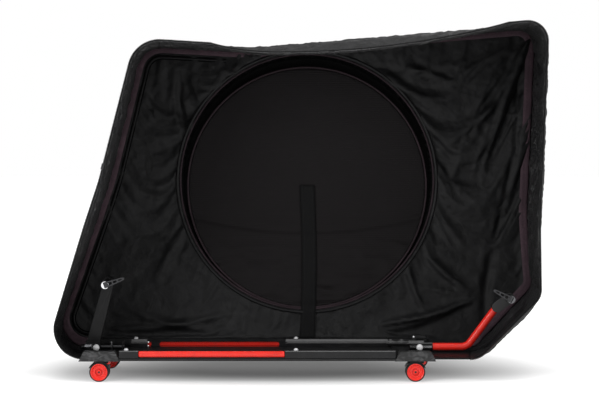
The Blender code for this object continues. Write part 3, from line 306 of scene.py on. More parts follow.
def place_axis(tree, vector, axis):
    return add_node(tree, "ShaderNodeSeparateXYZ", Vector=vector).outputs[axis]


def build_weave_group():
    """Threads over and under each other, from a cloth's own map in metres."""
    tree, enter, leave = shader_group(
        "plain_weave",
        [("Vector", "NodeSocketVector", None), ("Pitch", "NodeSocketFloat", 0.001)],
        [("Height", "NodeSocketFloat"), ("Thread", "NodeSocketFloat")],
    )
    turns = math_node(tree, "DIVIDE", math.pi, enter.outputs["Pitch"])
    waves = []
    for axis in ("X", "Y"):
        angle = math_node(tree, "MULTIPLY", place_axis(tree, enter.outputs["Vector"], axis), turns)
        waves.append(math_node(tree, "SINE", angle))
    product = math_node(tree, "MULTIPLY", *waves)
    tree.links.new(math_node(tree, "ABSOLUTE", product), leave.inputs["Height"])
    tree.links.new(math_node(tree, "MULTIPLY_ADD", product, 0.5, 0.5), leave.inputs["Thread"])
    return tree


def build_crumple_group():
    """Small sharp creases, as in cloth that was folded away."""
    tree, enter, leave = shader_group(
        "crumple",
        [("Vector", "NodeSocketVector", None), ("Scale", "NodeSocketFloat", 20.0)],
        [("Height", "NodeSocketFloat"), ("Patch", "NodeSocketFloat")],
    )
    coarse = noise_node(tree, enter.outputs["Vector"], enter.outputs["Scale"], 4.0, 0.6)
    centred = math_node(tree, "SUBTRACT", coarse, 0.5)
    ridge = math_node(tree, "ABSOLUTE", centred)
    sharp = math_node(tree, "MULTIPLY", ridge, -4.0)
    finer = math_node(tree, "MULTIPLY", enter.outputs["Scale"], 3.1)
    small = noise_node(tree, enter.outputs["Vector"], finer, 3.0, 0.9)
    tree.links.new(math_node(tree, "MULTIPLY_ADD", small, 0.45, sharp), leave.inputs["Height"])
    tree.links.new(coarse, leave.inputs["Patch"])
    return tree


def build_wear_group():
    """A soft mask of dust and handling marks."""
    tree, enter, leave = shader_group(
        "handling_wear",
        [("Vector", "NodeSocketVector", None), ("Scale", "NodeSocketFloat", 30.0)],
        [("Mask", "NodeSocketFloat")],
    )
    broad = noise_node(tree, enter.outputs["Vector"], enter.outputs["Scale"], 5.0)
    finer = math_node(tree, "MULTIPLY", enter.outputs["Scale"], 9.0)
    specks = noise_node(tree, enter.outputs["Vector"], finer, 2.0)
    both = math_node(tree, "MULTIPLY", broad, specks)
    lifted = math_node(tree, "SUBTRACT", both, 0.20)
    mask = math_node(tree, "MULTIPLY", lifted, 3.5, clamp=True)
    tree.links.new(mask, leave.inputs["Mask"])
    return tree


GROUPS = {
    "weave": build_weave_group,
    "crumple": build_crumple_group,
    "wear": build_wear_group,
}
BUILT = {}


def group_node(tree, name, vector, **values):
    """Place a shared group, built at its first use."""
    if name not in BUILT:
        BUILT[name] = GROUPS[name]()
    return add_node(tree, "ShaderNodeGroup", {"node_tree": BUILT[name]}, Vector=vector, **values)


# Materials


class Finish:
    """A material in the making: its tree, its shader and where its patterns lie."""

    def __init__(self, name, colour, roughness, metallic=0.0, specular=0.5):
        self.material = bpy.data.materials.new(name)
        self.material.use_nodes = True
        self.material.diffuse_color = (*colour, 1.0)
        self.tree = self.material.node_tree
        self.shader = self.tree.nodes["Principled BSDF"]
        self.colour = colour
        self.set("Base Color", (*colour, 1.0))
        self.set("Roughness", roughness)
        self.set("Metallic", metallic)
        self.set("Specular IOR Level", specular)
        self.coordinates = self.tree.nodes.new("ShaderNodeTexCoord")
        self.height = None

    def set(self, socket, value):
        feed(self.tree, self.shader.inputs[socket], value)

    @property
    def place(self):
        return self.coordinates.outputs["Object"]

    @property
    def cloth_map(self):
        return self.coordinates.outputs["UV"]

    def stretch(self, vector, scale):
        """Squeeze or stretch a pattern along its axes."""
        return add_node(self.tree, "ShaderNodeMapping", Vector=vector, Scale=scale).outputs[0]

    def tint(self, mask, other):
        """Mix another colour in by a mask."""
        mix = add_node(self.tree, "ShaderNodeMix", {"data_type": "RGBA"}, Factor=mask)
        colours = [socket for socket in mix.inputs if socket.type == "RGBA"]
        colours[0].default_value = (*self.colour, 1.0)
        colours[1].default_value = (*other, 1.0)
        self.set("Base Color", [socket for socket in mix.outputs if socket.type == "RGBA"][0])

    def roughen(self, mask, low, high):
        self.set("Roughness", range_node(self.tree, mask, low, high))

    def fade(self, socket, heights, values):
        """Let a socket's value change between two heights."""
        height = place_axis(self.tree, self.place, "Z")
        self.set(socket, range_node(self.tree, height, *values, *heights, smooth=True))

    def bump(self, height, depth):
        """Add relief of a depth in metres over what is there already."""
        node = add_node(self.tree, "ShaderNodeBump", Distance=depth, Strength=1.0, Height=height)
        if self.height is not None:
            self.tree.links.new(self.height, node.inputs["Normal"])
        self.height = node.outputs["Normal"]
        self.set("Normal", self.height)


def lighter(colour, times):
    return tuple(min(channel * times, 1.0) for channel in colour)


def make_nylon(name, colour, specular, scale, depth, gloss=(0.34, 0.58), foot=None):
    """Coated nylon with creases of a given spread and depth, and roughness between two values.

    A foot is two heights: under the first the cloth's specular is faded almost away, a painted shade, and
    over the second it has its full gloss.
    """
    finish = Finish(name, colour, sum(gloss) / 2, specular=specular)
    finish.set("Sheen Weight", 0.012)
    finish.set("Sheen Roughness", 0.35)
    crumple = group_node(finish.tree, "crumple", finish.place, Scale=scale)
    weave = group_node(finish.tree, "weave", finish.cloth_map, Pitch=0.0011)
    wear = group_node(finish.tree, "wear", finish.place, Scale=9.0)
    finish.tint(wear.outputs["Mask"], lighter(colour, 1.9))
    finish.roughen(crumple.outputs["Patch"], *gloss)
    finish.bump(crumple.outputs["Height"], depth)
    finish.bump(weave.outputs["Height"], 0.00016)
    # Painted shade: the specular fades away towards the cloth's foot
    if foot:
        finish.fade("Specular IOR Level", foot, (0.03, specular))
    return finish.material


def make_ribbed(name, colour, roughness, specular, squeeze, pitch, times, depth,
                sheen=0.0, worn=None, crumpled=None):
    """Ribbed cloth or webbing, paler on its raised threads, or where it is worn."""
    finish = Finish(name, colour, roughness, specular=specular)
    finish.set("Sheen Weight", sheen)
    ribs = group_node(
        finish.tree, "weave", finish.stretch(finish.cloth_map, (1.0, squeeze, 1.0)), Pitch=pitch)
    mask = ribs.outputs["Thread"]
    if worn:
        mask = group_node(finish.tree, "wear", finish.place, Scale=worn).outputs["Mask"]
    finish.tint(mask, lighter(colour, times))
    if crumpled:
        crumple = group_node(finish.tree, "crumple", finish.place, Scale=crumpled)
        finish.bump(crumple.outputs["Height"], 0.0008)
    finish.bump(ribs.outputs["Height"], depth)
    return finish.material


def make_thread(colours):
    finish = Finish("sewing_thread", lighter(colours.nylon, 2.0), 0.55, specular=0.2)
    twist = group_node(finish.tree, "crumple", finish.place, Scale=700.0)
    finish.bump(twist.outputs["Height"], 0.0001)
    return finish.material


def make_hard(name, colour, roughness, wear, grain, worn=None, gloss=None, coat=None, squeeze=None,
              **shader):
    """A hard surface with a fine grain (scale, detail, depth) and with wear of a given scale.

    Where it is worn, the worn colour comes in, and its roughness goes from one gloss value to the other.
    """
    finish = Finish(name, colour, roughness, **shader)
    if coat:
        finish.set("Coat Weight", coat[0])
        finish.set("Coat Roughness", coat[1])
    mask = group_node(finish.tree, "wear", finish.place, Scale=wear).outputs["Mask"]
    if worn:
        finish.tint(mask, worn)
    if gloss:
        finish.roughen(mask, *gloss)
    scale, detail, depth = grain
    place = finish.stretch(finish.place, squeeze) if squeeze else finish.place
    finish.bump(noise_node(finish.tree, place, scale, detail), depth)
    return finish.material


def make_plastic(name, colour, roughness, specular=0.5):
    gloss = (roughness * 0.85, min(roughness * 1.35, 1.0))
    return make_hard(name, colour, roughness, 55.0, (1800.0, 2.0, 0.00006), lighter(colour, 1.5), gloss,
                     specular=specular)


def make_paint(name, colour):
    return make_hard(name, colour, 0.28, 40.0, (420.0, 1.0, 0.00006), lighter(colour, 0.72), (0.24, 0.42),
                     (0.3, 0.08), specular=0.3)


def make_metal(name, colour, roughness):
    """Bare or plated metal with a fine grain."""
    gloss = (roughness * 0.8, min(roughness * 1.6, 1.0))
    return make_hard(name, colour, roughness, 60.0, (900.0, 3.0, 0.00004), gloss=gloss, metallic=1.0)


def make_marbled():
    """Dark moulding with swirls of lighter grey in it."""
    dark = (0.0065, 0.0065, 0.0068)
    finish = Finish("marbled_moulding", dark, 0.30, specular=0.25)
    finish.set("Coat Weight", 0.2)
    finish.set("Coat Roughness", 0.15)
    swirl = noise_node(finish.tree, finish.stretch(finish.place, (1.0, 1.0, 1.8)), 36.0, 2.5, 1.8)
    centred = math_node(finish.tree, "SUBTRACT", swirl, 0.42)
    veins = math_node(finish.tree, "MULTIPLY", centred, 3.6, clamp=True)
    finish.tint(veins, (0.066, 0.066, 0.068))
    finish.roughen(swirl, 0.24, 0.45)
    return finish.material


BINDING_LOOK = {
    "roughness": 0.62, "specular": 0.15, "squeeze": 0.12, "pitch": 0.0012, "times": 1.8, "depth": 0.0003,
    "sheen": 0.02, "worn": 25.0,
}
MATERIALS = {}


def finish(name):
    """One of the case's finishes, made at its first use."""
    colours = bpy.context.scene.case_colours
    makers = {
        "nylon": lambda: make_nylon("shell_nylon", colours.nylon, 0.17, 22.0, 0.0010),
        # Outer faces: a copy of the shell nylon, a little lighter and duller, set for how the overhead light
        # falls on them: painted light and shade
        "outer_nylon": lambda: make_nylon(
            "outer_nylon", lighter(colours.nylon, 1.2), 0.13, 26.0, 0.0016, (0.45, 0.7)),
        # The wall lining's gloss fades towards its foot: painted shade
        "wall_nylon": lambda: make_nylon(
            "crumpled_lining", lighter(colours.nylon, 1.9), 1.0, 40.0, 0.0050, (0.22, 0.48), (0.12, 0.44)),
        # The wall lining again, made lighter for the toe: painted light
        "painted_light_toe_nylon": lambda: make_nylon(
            "toe_lining", lighter(colours.nylon, 2.4), 0.9, 34.0, 0.0032, (0.26, 0.50), (0.07, 0.15)),
        # Near-black copy of the shell nylon, for the gap behind the divider and the grooves by the rear
        # seam: painted shade
        "painted_shade_nylon": lambda: make_nylon("shaded_nylon", lighter(colours.nylon, 0.25), 0.03, 22.0, 0.0006),
        "lining": lambda: make_ribbed(
            "mesh_lining", colours.lining, 0.62, 0.12, 0.35, 0.0022, 1.7, 0.0004, sheen=0.012, crumpled=7.0),
        "binding": lambda: make_ribbed("seam_binding", colours.binding, **BINDING_LOOK),
        "dark_binding": lambda: make_ribbed("ring_binding", lighter(colours.binding, 0.38), **BINDING_LOOK),
        "webbing": lambda: make_ribbed(
            "woven_webbing", lighter(colours.nylon, 0.6), 0.60, 0.08, 0.5, 0.0021, 2.0, 0.0005, sheen=0.012),
        "zip_tape": lambda: make_ribbed("zip_tape", colours.nylon, 0.66, 0.15, 0.3, 0.0009, 1.5, 0.00025),
        "thread": lambda: make_thread(colours),
        "zip_teeth": lambda: make_plastic("zip_teeth", (0.012, 0.012, 0.012), 0.30),
        "red_paint": lambda: make_paint("red_paint", colours.red),
        "red_plastic": lambda: make_plastic("red_moulding", lighter(colours.red, 0.92), 0.30),
        "black_plastic": lambda: make_plastic("black_moulding", (0.0085, 0.0085, 0.0090), 0.40),
        "dull_plastic": lambda: make_plastic("dull_moulding", (0.0060, 0.0060, 0.0064), 0.42, specular=0.22),
        "rail": lambda: make_hard(
            "black_anodised", (0.0075, 0.0075, 0.0080), 0.34, 26.0, (1100.0, 3.0, 0.00005),
            (0.020, 0.020, 0.021), (0.30, 0.50), squeeze=(0.02, 1.0, 1.0), metallic=0.2, specular=0.28),
        "marbled": make_marbled,
        "rubber": lambda: make_hard(
            "tyre_rubber", (0.008, 0.008, 0.008), 0.60, 70.0, (1300.0, 2.0, 0.00008),
            (0.03, 0.029, 0.028), specular=0.3),
        "silver": lambda: make_metal("polished_metal", colours.metal, 0.16),
        "satin": lambda: make_plastic("satin_metal", (0.74, 0.74, 0.75), 0.30),
        "screw_metal": lambda: make_plastic("screw_metal", (0.56, 0.56, 0.57), 0.30),
        "steel": lambda: make_metal("brushed_steel", (0.26, 0.26, 0.265), 0.32),
        # Pale grey for the rails' edge and ledge faces and the sleeve plates: painted highlights
        "ledge": lambda: make_plastic("painted_highlight_grey", (0.090, 0.090, 0.091), 0.42),
        # A darker copy of the red paint for the far bar: painted shade
        "painted_shade_red": lambda: make_paint("shaded_paint", lighter(colours.red, 0.66)),
        "grey_metal": lambda: make_metal("grey_metal", (0.20, 0.20, 0.21), 0.34),
        "dark_metal": lambda: make_metal("dark_metal", (0.050, 0.050, 0.052), 0.36),
    }
    if name not in MATERIALS:
        MATERIALS[name] = makers[name]()
    return MATERIALS[name]


# Making pieces


def add_piece(name, mesh, material, body="case", replaces=(), moved=False):
    """A finished piece of the case: at the origin, in its body, standing for its CAD nodes."""
    if not moved:
        mesh.transform(Matrix.Translation(BASE))
    thing = bpy.data.objects.new(name, mesh)
    bpy.context.scene.collection.objects.link(thing)
    mesh.materials.clear()
    mesh.materials.append(material)
    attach(thing, body)
    if replaces:
        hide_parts(*replaces)
    return thing


def mesh_of(shape, name="shape"):
    mesh = bpy.data.meshes.new(name)
    shape.to_mesh(mesh)
    shape.free()
    return mesh


def baked(data, dress=None):
    """The mesh that a mesh or curve gives, with the modifiers that dress(holder) adds applied."""
    holder = bpy.data.objects.new("holder", data)
    bpy.context.scene.collection.objects.link(holder)
    if dress:
        dress(holder)
    bpy.context.view_layer.update()
    graph = bpy.context.evaluated_depsgraph_get()
    result = bpy.data.meshes.new_from_object(holder.evaluated_get(graph), depsgraph=graph)
    bpy.data.objects.remove(holder, do_unlink=True)
    return result


def shade(mesh, angle=35):
    mesh.shade_smooth()
    mesh.set_sharp_from_angle(angle=math.radians(angle))
    return mesh


def solidify(thing, wall, way):
    """Wall of a sheet: way -1 is against its faces' direction, 1 along it."""
    change = thing.modifiers.new("wall", "SOLIDIFY")
    change.thickness = wall
    change.offset = way
    change.use_even_offset = True


def grid_mesh(rows, maps, closed=False):
    """A sheet through rows of points, with its cloth map in metres, shaded smooth."""
    shape = bmesh.new()
    layer = shape.loops.layers.uv.new("cloth")
    grid = [[shape.verts.new(point) for point in row] for row in rows]
    size = len(grid)
    for i in range(size if closed else size - 1):
        k = (i + 1) % size
        for j in range(len(grid[i]) - 1):
            face = shape.faces.new((grid[i][j], grid[k][j], grid[k][j + 1], grid[i][j + 1]))
            face.smooth = True
            places = ((i, j), (i + 1, j), (i + 1, j + 1), (i, j + 1))
            for loop, (a, b) in zip(face.loops, places):
                loop[layer].uv = maps(a, b)
    return mesh_of(shape)


def inside(loop, places):
    """Which of the places (an array of x, z) a closed line goes round."""
    x, z = places.T
    odd = np.zeros(len(places), dtype=bool)
    for a, b in zip(loop, [*loop[1:], loop[0]]):
        if a.y == b.y:
            continue
        crossed = (a.y > z) != (b.y > z)
        odd ^= crossed & (x < (b.x - a.x) * (z - a.y) / (b.y - a.y) + a.x)
    return odd


def flat_tree(points):
    """A search tree of flat points, for the distance to the nearest one."""
    tree = kdtree.KDTree(len(points))
    for i, point in enumerate(points):
        tree.insert((point.x, point.y, 0), i)
    tree.balance()
    return tree


def cut_cloth(outer, holes, spacing):
    """Cut a flat sheet (x, z) with even triangles. Returns its points, triangles and edge points."""
    loops = [outer, *holes]
    points = [Vector(point) for loop in loops for point in loop]
    edges = []
    start = 0
    for loop in loops:
        count = len(loop)
        edges += [(start + i, start + (i + 1) % count) for i in range(count)]
        start += count
    edge_count = len(points)
    tree = flat_tree(points)
    low = [min(point[k] for point in outer) for k in (0, 1)]
    high = [max(point[k] for point in outer) for k in (0, 1)]
    row_step = spacing * math.sqrt(3) / 2
    for row in range(int((high[1] - low[1]) / row_step) + 1):
        z = low[1] + row * row_step
        shift = spacing / 2 if row % 2 else 0.0
        for column in range(int((high[0] - low[0]) / spacing) + 1):
            x = low[0] + shift + column * spacing
            if tree.find((x, z, 0))[2] > spacing * 0.62:
                points.append(Vector((x, z)))
    made = delaunay_2d_cdt(points, edges, [], 0, 1e-6)
    places, triangles = made[0], made[2]
    held = [i for i, origin in enumerate(made[3]) if any(k < edge_count for k in origin)]
    middles = np.array([sum((places[i] for i in face), Vector((0, 0))) / len(face) for face in triangles])
    kept = inside(outer, middles)
    for hole in holes:
        kept &= ~inside(hole, middles)
    return places, [face for face, keep in zip(triangles, kept) if keep], held


def cloth_mesh(points, faces, place):
    """A cut sheet in space, with its flat shape kept as the cloth's map."""
    shape = bmesh.new()
    layer = shape.loops.layers.uv.new("cloth")
    verts = [shape.verts.new(place(point)) for point in points]
    for corners in faces:
        face = shape.faces.new([verts[i] for i in corners])
        face.smooth = True
        for loop, i in zip(face.loops, corners):
            loop[layer].uv = points[i]
    return mesh_of(shape)


def let_settle(things, slack, frames, limit):
    """Let sheets buckle as they take up their slack. Points held by their group stay put."""
    starts = []
    for thing in things:
        cloth = thing.modifiers.new("settle", "CLOTH")
        settings = cloth.settings
        settings.quality = 5
        settings.mass = 0.25
        settings.tension_stiffness = 22
        settings.compression_stiffness = 22
        settings.shear_stiffness = 8
        settings.bending_stiffness = 0.6
        settings.air_damping = 2.0
        settings.vertex_group_mass = "held"
        settings.shrink_min = -slack
        cloth.collision_settings.use_collision = False
        starts.append([vertex.co.copy() for vertex in thing.data.vertices])
    scene = bpy.context.scene
    scene.frame_start = 1
    scene.frame_end = frames
    for number in range(1, frames + 1):
        scene.frame_set(number)
    graph = bpy.context.evaluated_depsgraph_get()
    for thing, start in zip(things, starts):
        moved = thing.evaluated_get(graph).data.vertices
        places = [vertex.co.copy() for vertex in moved]
        thing.modifiers.remove(thing.modifiers["settle"])
        for vertex, here, there in zip(thing.data.vertices, start, places):
            way = there - here
            if way.length > limit:
                way *= limit / way.length
            vertex.co = here + way
        thing.data.update()
    scene.frame_set(1)


def calm(place):
    """Share of the crinkle that a place keeps: less of it along the open rim."""
    return 0.15 + 0.85 * smooth_step(0.0, 0.050, place.y + flare(place.z))


def hold(thing, indices):
    group = thing.vertex_groups.new(name="held")
    group.add(list(indices), 1.0, "REPLACE")


def crease_noise(place, size, seed):
    """Sharp-backed folds of about the given size, from -1 to 1."""
    point = place / size + Vector((seed, seed * 1.7, -seed))
    value = noise.noise(point) + 0.5 * noise.noise(point * 2.1)
    return 1.0 - 2.6 * abs(value)


def push(mesh, height):
    """Move each point of a sheet along its normal by what height(place) gives."""
    ways = [vertex.normal.copy() for vertex in mesh.vertices]
    for vertex, way in zip(mesh.vertices, ways):
        vertex.co = vertex.co + way * height(vertex.co)
    mesh.update()


def flat_area(points, faces):
    total = 0.0
    for a, b, c in faces:
        total += abs((points[b] - points[a]).cross(points[c] - points[a])) / 2
    return total


def turned(profile, steps=56):
    """A profile (radius, height), outer side downwards, turned round local Z."""
    shape = bmesh.new()
    rings = []
    for radius, height in profile:
        if radius < 1e-7:
            rings.append([shape.verts.new((0, 0, height))])
            continue
        turns = [2 * math.pi * i / steps for i in range(steps)]
        rings.append([
            shape.verts.new((radius * math.cos(turn), radius * math.sin(turn), height)) for turn in turns
        ])
    for upper, lower in zip(rings, rings[1:]):
        for i in range(steps):
            k = (i + 1) % steps
            if len(upper) == 1:
                shape.faces.new((upper[0], lower[i], lower[k]))
            elif len(lower) == 1:
                shape.faces.new((upper[i], lower[0], upper[k]))
            else:
                shape.faces.new((upper[i], lower[i], lower[k], upper[k]))
    bmesh.ops.recalc_face_normals(shape, faces=shape.faces)
    return shade(mesh_of(shape), 30)


def stand(mesh, at, turn=(0, 0, 0)):
    """Turn a mesh (degrees) and put it at a place of the case's own frame."""
    angles = [math.radians(angle) for angle in turn]
    turned_by = Matrix.Rotation(angles[2], 4, "Z") @ Matrix.Rotation(angles[1], 4, "Y")
    mesh.transform(Matrix.Translation(at) @ turned_by @ Matrix.Rotation(angles[0], 4, "X"))
    return mesh


def joined(meshes):
    shape = bmesh.new()
    for mesh in meshes:
        shape.from_mesh(mesh)
    return mesh_of(shape)


def bevelled(mesh, width, segments, above=-math.inf):
    """Round a mesh's edges, or only those that lie over a height."""
    shape = bmesh.new()
    shape.from_mesh(mesh)
    edges = [edge for edge in shape.edges if min(vert.co.z for vert in edge.verts) > above]
    bmesh.ops.bevel(shape, geom=edges, offset=width, segments=segments, affect="EDGES")
    return mesh_of(shape)


def rounded_box(low, high, edge, segments=2):
    """A box between two corners of the case's own frame, with rounded edges."""
    low, high = Vector(low), Vector(high)
    shape = bmesh.new()
    place = Matrix.Translation((low + high) / 2) @ Matrix.Diagonal((*(high - low), 1))
    bmesh.ops.create_cube(shape, size=1, matrix=place)
    return shade(bevelled(mesh_of(shape), edge, segments))


def extruded(section, start, end, axis="X", lit=()):
    """A closed section drawn out along X (section y, z) or Y (section x, z).

    The sides that start at the section's points in lit get the second material.
    """
    shape = bmesh.new()
    ends = []
    for at in (start, end):
        places = [(at, a, z) if axis == "X" else (a, at, z) for a, z in section]
        ends.append([shape.verts.new(place) for place in places])
    for i in range(len(section)):
        k = (i + 1) % len(section)
        side = shape.faces.new((ends[0][i], ends[0][k], ends[1][k], ends[1][i]))
        side.material_index = 1 if i in lit else 0
    shape.faces.new(ends[0][::-1])
    shape.faces.new(ends[1])
    bmesh.ops.recalc_face_normals(shape, faces=shape.faces)
    return mesh_of(shape)


def own_box(node):
    """Corners of a CAD node's box in the case's own frame."""
    return [Vector(corner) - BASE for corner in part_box(node)]


def cad_copy(node, edge, angle):
    """A CAD node's mesh, merged, its flat faces whole again and its edges softly rounded."""
    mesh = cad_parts[node].data.copy()
    shape = bmesh.new()
    shape.from_mesh(mesh)
    bmesh.ops.remove_doubles(shape, verts=shape.verts, dist=0.00001)
    bmesh.ops.dissolve_limit(shape, angle_limit=math.radians(1.0), verts=shape.verts, edges=shape.edges)
    shape.to_mesh(mesh)
    shape.free()
    shade(mesh, angle)
    if not edge:
        return mesh

    def round_edges(holder):
        change = holder.modifiers.new("edge", "BEVEL")
        change.width = edge
        change.segments = 2
        change.limit_method = "ANGLE"
        change.angle_limit = math.radians(angle)
        change.harden_normals = True

    return baked(mesh, round_edges)


def refinish(node, material, body="case", edge=0.0006, angle=35):
    """Replace a hard CAD node by itself with rounded edges and its real finish."""
    mesh = cad_copy(node, edge, angle)
    add_piece(f"{node}_finished", mesh, material, body, (node,), moved=True)


# Geometry Nodes for what is repeated along a path


def path_tree(name, inputs):
    """A tree that starts from a path of edges, as a curve. Returns its parts."""
    tree = bpy.data.node_groups.new(name, "GeometryNodeTree")
    tree.interface.new_socket(name="Path", in_out="INPUT", socket_type="NodeSocketGeometry")
    for label, kind, default in inputs:
        socket = tree.interface.new_socket(name=label, in_out="INPUT", socket_type=kind)
        if default is not None:
            socket.default_value = default
    tree.interface.new_socket(name="Material", in_out="INPUT", socket_type="NodeSocketMaterial")
    tree.interface.new_socket(name="Geometry", in_out="OUTPUT", socket_type="NodeSocketGeometry")
    enter = tree.nodes.new("NodeGroupInput")
    leave = tree.nodes.new("NodeGroupOutput")
    curve = add_node(tree, "GeometryNodeMeshToCurve", Mesh=enter.outputs["Path"])
    return tree, enter, leave, curve.outputs["Curve"]


def close_tree(tree, enter, leave, geometry, smooth=True):
    """End a tree: real geometry, shading and its material."""
    real = add_node(tree, "GeometryNodeRealizeInstances", Geometry=geometry)
    shading = add_node(tree, "GeometryNodeSetShadeSmooth", Geometry=real.outputs["Geometry"],
                       Shade_Smooth=smooth)
    coat = add_node(tree, "GeometryNodeSetMaterial", Geometry=shading.outputs["Geometry"],
                    Material=enter.outputs["Material"])
    tree.links.new(coat.outputs["Geometry"], leave.inputs["Geometry"])
    return tree


def along_path(tree, enter, curve, shape, axis, across=None):
    """Repeat a shape along the curve at the Pitch, turned to follow it."""
    even = add_node(tree, "GeometryNodeResampleCurve", {"mode": "LENGTH"}, Curve=curve,
                    Length=enter.outputs["Pitch"])
    align = "FunctionNodeAlignRotationToVector"
    tangent = add_node(tree, "GeometryNodeInputTangent").outputs["Tangent"]
    rotation = add_node(tree, align, {"axis": axis}, Vector=tangent).outputs["Rotation"]
    if across:
        settings = {"axis": "Y", "pivot_axis": axis}
        rotation = add_node(tree, align, settings, Vector=across, Rotation=rotation).outputs["Rotation"]
    return add_node(tree, "GeometryNodeInstanceOnPoints", Points=even.outputs["Curve"], Instance=shape,
                    Rotation=rotation).outputs["Instances"]


def build_stitch_tree():
    tree, enter, leave, curve = path_tree("stitches", [
        ("Pitch", "NodeSocketFloat", 0.004),
        ("Stitch length", "NodeSocketFloat", 0.003),
        ("Thread radius", "NodeSocketFloat", 0.0004),
    ])
    thread = add_node(tree, "GeometryNodeMeshCylinder", Vertices=5, Depth=enter.outputs["Stitch length"],
                      Radius=enter.outputs["Thread radius"])
    rows = along_path(tree, enter, curve, thread.outputs["Mesh"], "Z")
    return close_tree(tree, enter, leave, rows)


def build_teeth_tree():
    tree, enter, leave, curve = path_tree("zip_teeth", [
        ("Pitch", "NodeSocketFloat", 0.0026),
        ("Tooth", "NodeSocketVector", (0.0014, 0.0030, 0.0016)),
    ])
    tooth = add_node(tree, "GeometryNodeMeshCube", Size=enter.outputs["Tooth"])
    rows = along_path(tree, enter, curve, tooth.outputs["Mesh"], "X", (0.0, 1.0, 0.0))
    return close_tree(tree, enter, leave, rows, smooth=False)


def build_piping_tree():
    tree, enter, leave, curve = path_tree("piping", [
        ("Radius", "NodeSocketFloat", 0.003),
        ("Sides", "NodeSocketInt", 10),
    ])
    section = add_node(tree, "GeometryNodeCurvePrimitiveCircle", Radius=enter.outputs["Radius"],
                       Resolution=enter.outputs["Sides"])
    tube = add_node(tree, "GeometryNodeCurveToMesh", Curve=curve, Profile_Curve=section.outputs["Curve"],
                    Fill_Caps=True)
    return close_tree(tree, enter, leave, tube.outputs["Mesh"])


TREES = {
    "stitches": build_stitch_tree,
    "teeth": build_teeth_tree,
    "piping": build_piping_tree,
}
GROWN = {}


def along(kind, paths, material, **values):
    """Run one of the trees over paths of points, and give back a plain mesh."""
    if kind not in GROWN:
        GROWN[kind] = TREES[kind]()
    shape = bmesh.new()
    for points, closed in paths:
        verts = [shape.verts.new(point) for point in points]
        for a, b in zip(verts, verts[1:]):
            shape.edges.new((a, b))
        if closed:
            shape.edges.new((verts[-1], verts[0]))

    def grow(holder):
        change = holder.modifiers.new(kind, "NODES")
        change.node_group = GROWN[kind]
        items = GROWN[kind].interface.items_tree
        slots = {item.name: item.identifier for item in items if item.in_out == "INPUT"}
        change[slots["Material"]] = material
        for label, value in values.items():
            change[slots[label.replace("_", " ")]] = value

    return baked(mesh_of(shape), grow)


def add_along(name, kind, paths, look, slot, body="case", **values):
    """A piece that one of the trees makes over paths of points."""
    mesh = along(kind, paths, finish(look), **values)
    add_piece(name, mesh, finish(look), body)


def stitch(name, paths, body="case"):
    """Rows of stitches along paths of points."""
    sizes = bpy.context.scene.case_sizes
    add_along(
        name, "stitches", paths, "thread", "black_webbing", body, Pitch=sizes.stitch_pitch,
        Stitch_length=sizes.stitch_length, Thread_radius=sizes.thread_radius,
    )


def add_piping(name, paths, look, slot, radius, sides=10, body="case"):
    add_along(name, "piping", paths, look, slot, body, Radius=radius, Sides=sides)


def add_teeth(name, path, closed, tooth):
    pitch = bpy.context.scene.case_sizes.tooth_pitch
    add_along(name, "teeth", [(path, closed)], "zip_teeth", "black_zip_coil", Pitch=pitch, Tooth=tooth)


# Shell


def wall_rows(first, last, spacing):
    """Rows across the case, from the open rim to the back seam, along part of the outline."""
    near = outline(0.0, 0.0, spacing, first, last)
    far = outline(FAR_GROWTH, 0.0, spacing, first, last)
    count = 44
    rows = []
    for a, b in zip(near, far):
        row = []
        for j in range(count + 1):
            share = j / count
            middle = a.lerp(b, share)
            y = -flare(a.y) * (1 - share) + (flare(b.y) - GAP) * share
            depth = y + flare(a.y)
            drop = rim_sag(a.x, a.y) * (1 - smooth_step(0.0, SHOULDER * 1.35, depth))
            row.append(Vector((middle.x, y, middle.y - drop)))
        rows.append(row)
    return rows


def row_map(rows):
    """A cloth map for rows of points: metres along, metres across."""
    middle = len(rows[0]) // 2
    along_it = [0.0]
    for a, b in zip(rows, rows[1:]):
        along_it.append(along_it[-1] + (b[middle] - a[middle]).length)
    along_it.append(along_it[-1] + 0.01)
    widths = []
    for row in rows:
        total = [0.0]
        for a, b in zip(row, row[1:]):
            total.append(total[-1] + (b - a).length)
        widths.append(total)
    widths.append(widths[0])
    return lambda i, j: (along_it[i], widths[i][j])


def sewn_edges(rows):
    """Indices of a row sheet's border points."""
    across = len(rows[0])
    last = len(rows) - 1
    held = set()
    for i in range(len(rows)):
        held |= {i * across, i * across + across - 1}
    held |= set(range(across)) | set(range(last * across, last * across + across))
    return held


def make_wall(name, nodes, first, last, spacing, lining):
    """A strip of shell cloth from the open rim to the back seam, with a lining on its inner side."""
    rows = wall_rows(first, last, spacing)
    mesh = grid_mesh(rows, row_map(rows))
    thing = add_piece(name, mesh, finish("outer_nylon"), "case", nodes)
    mesh.materials.append(lining)
    hold(thing, sewn_edges(rows))
    return thing


PLEAT_HEIGHT = 0.0045
PLEAT_REACH = 0.110
PLEATS_ROUND = 7
# Distance from the back panel's edge over which its folds come up to their full height
FOLD_EASE = 0.030
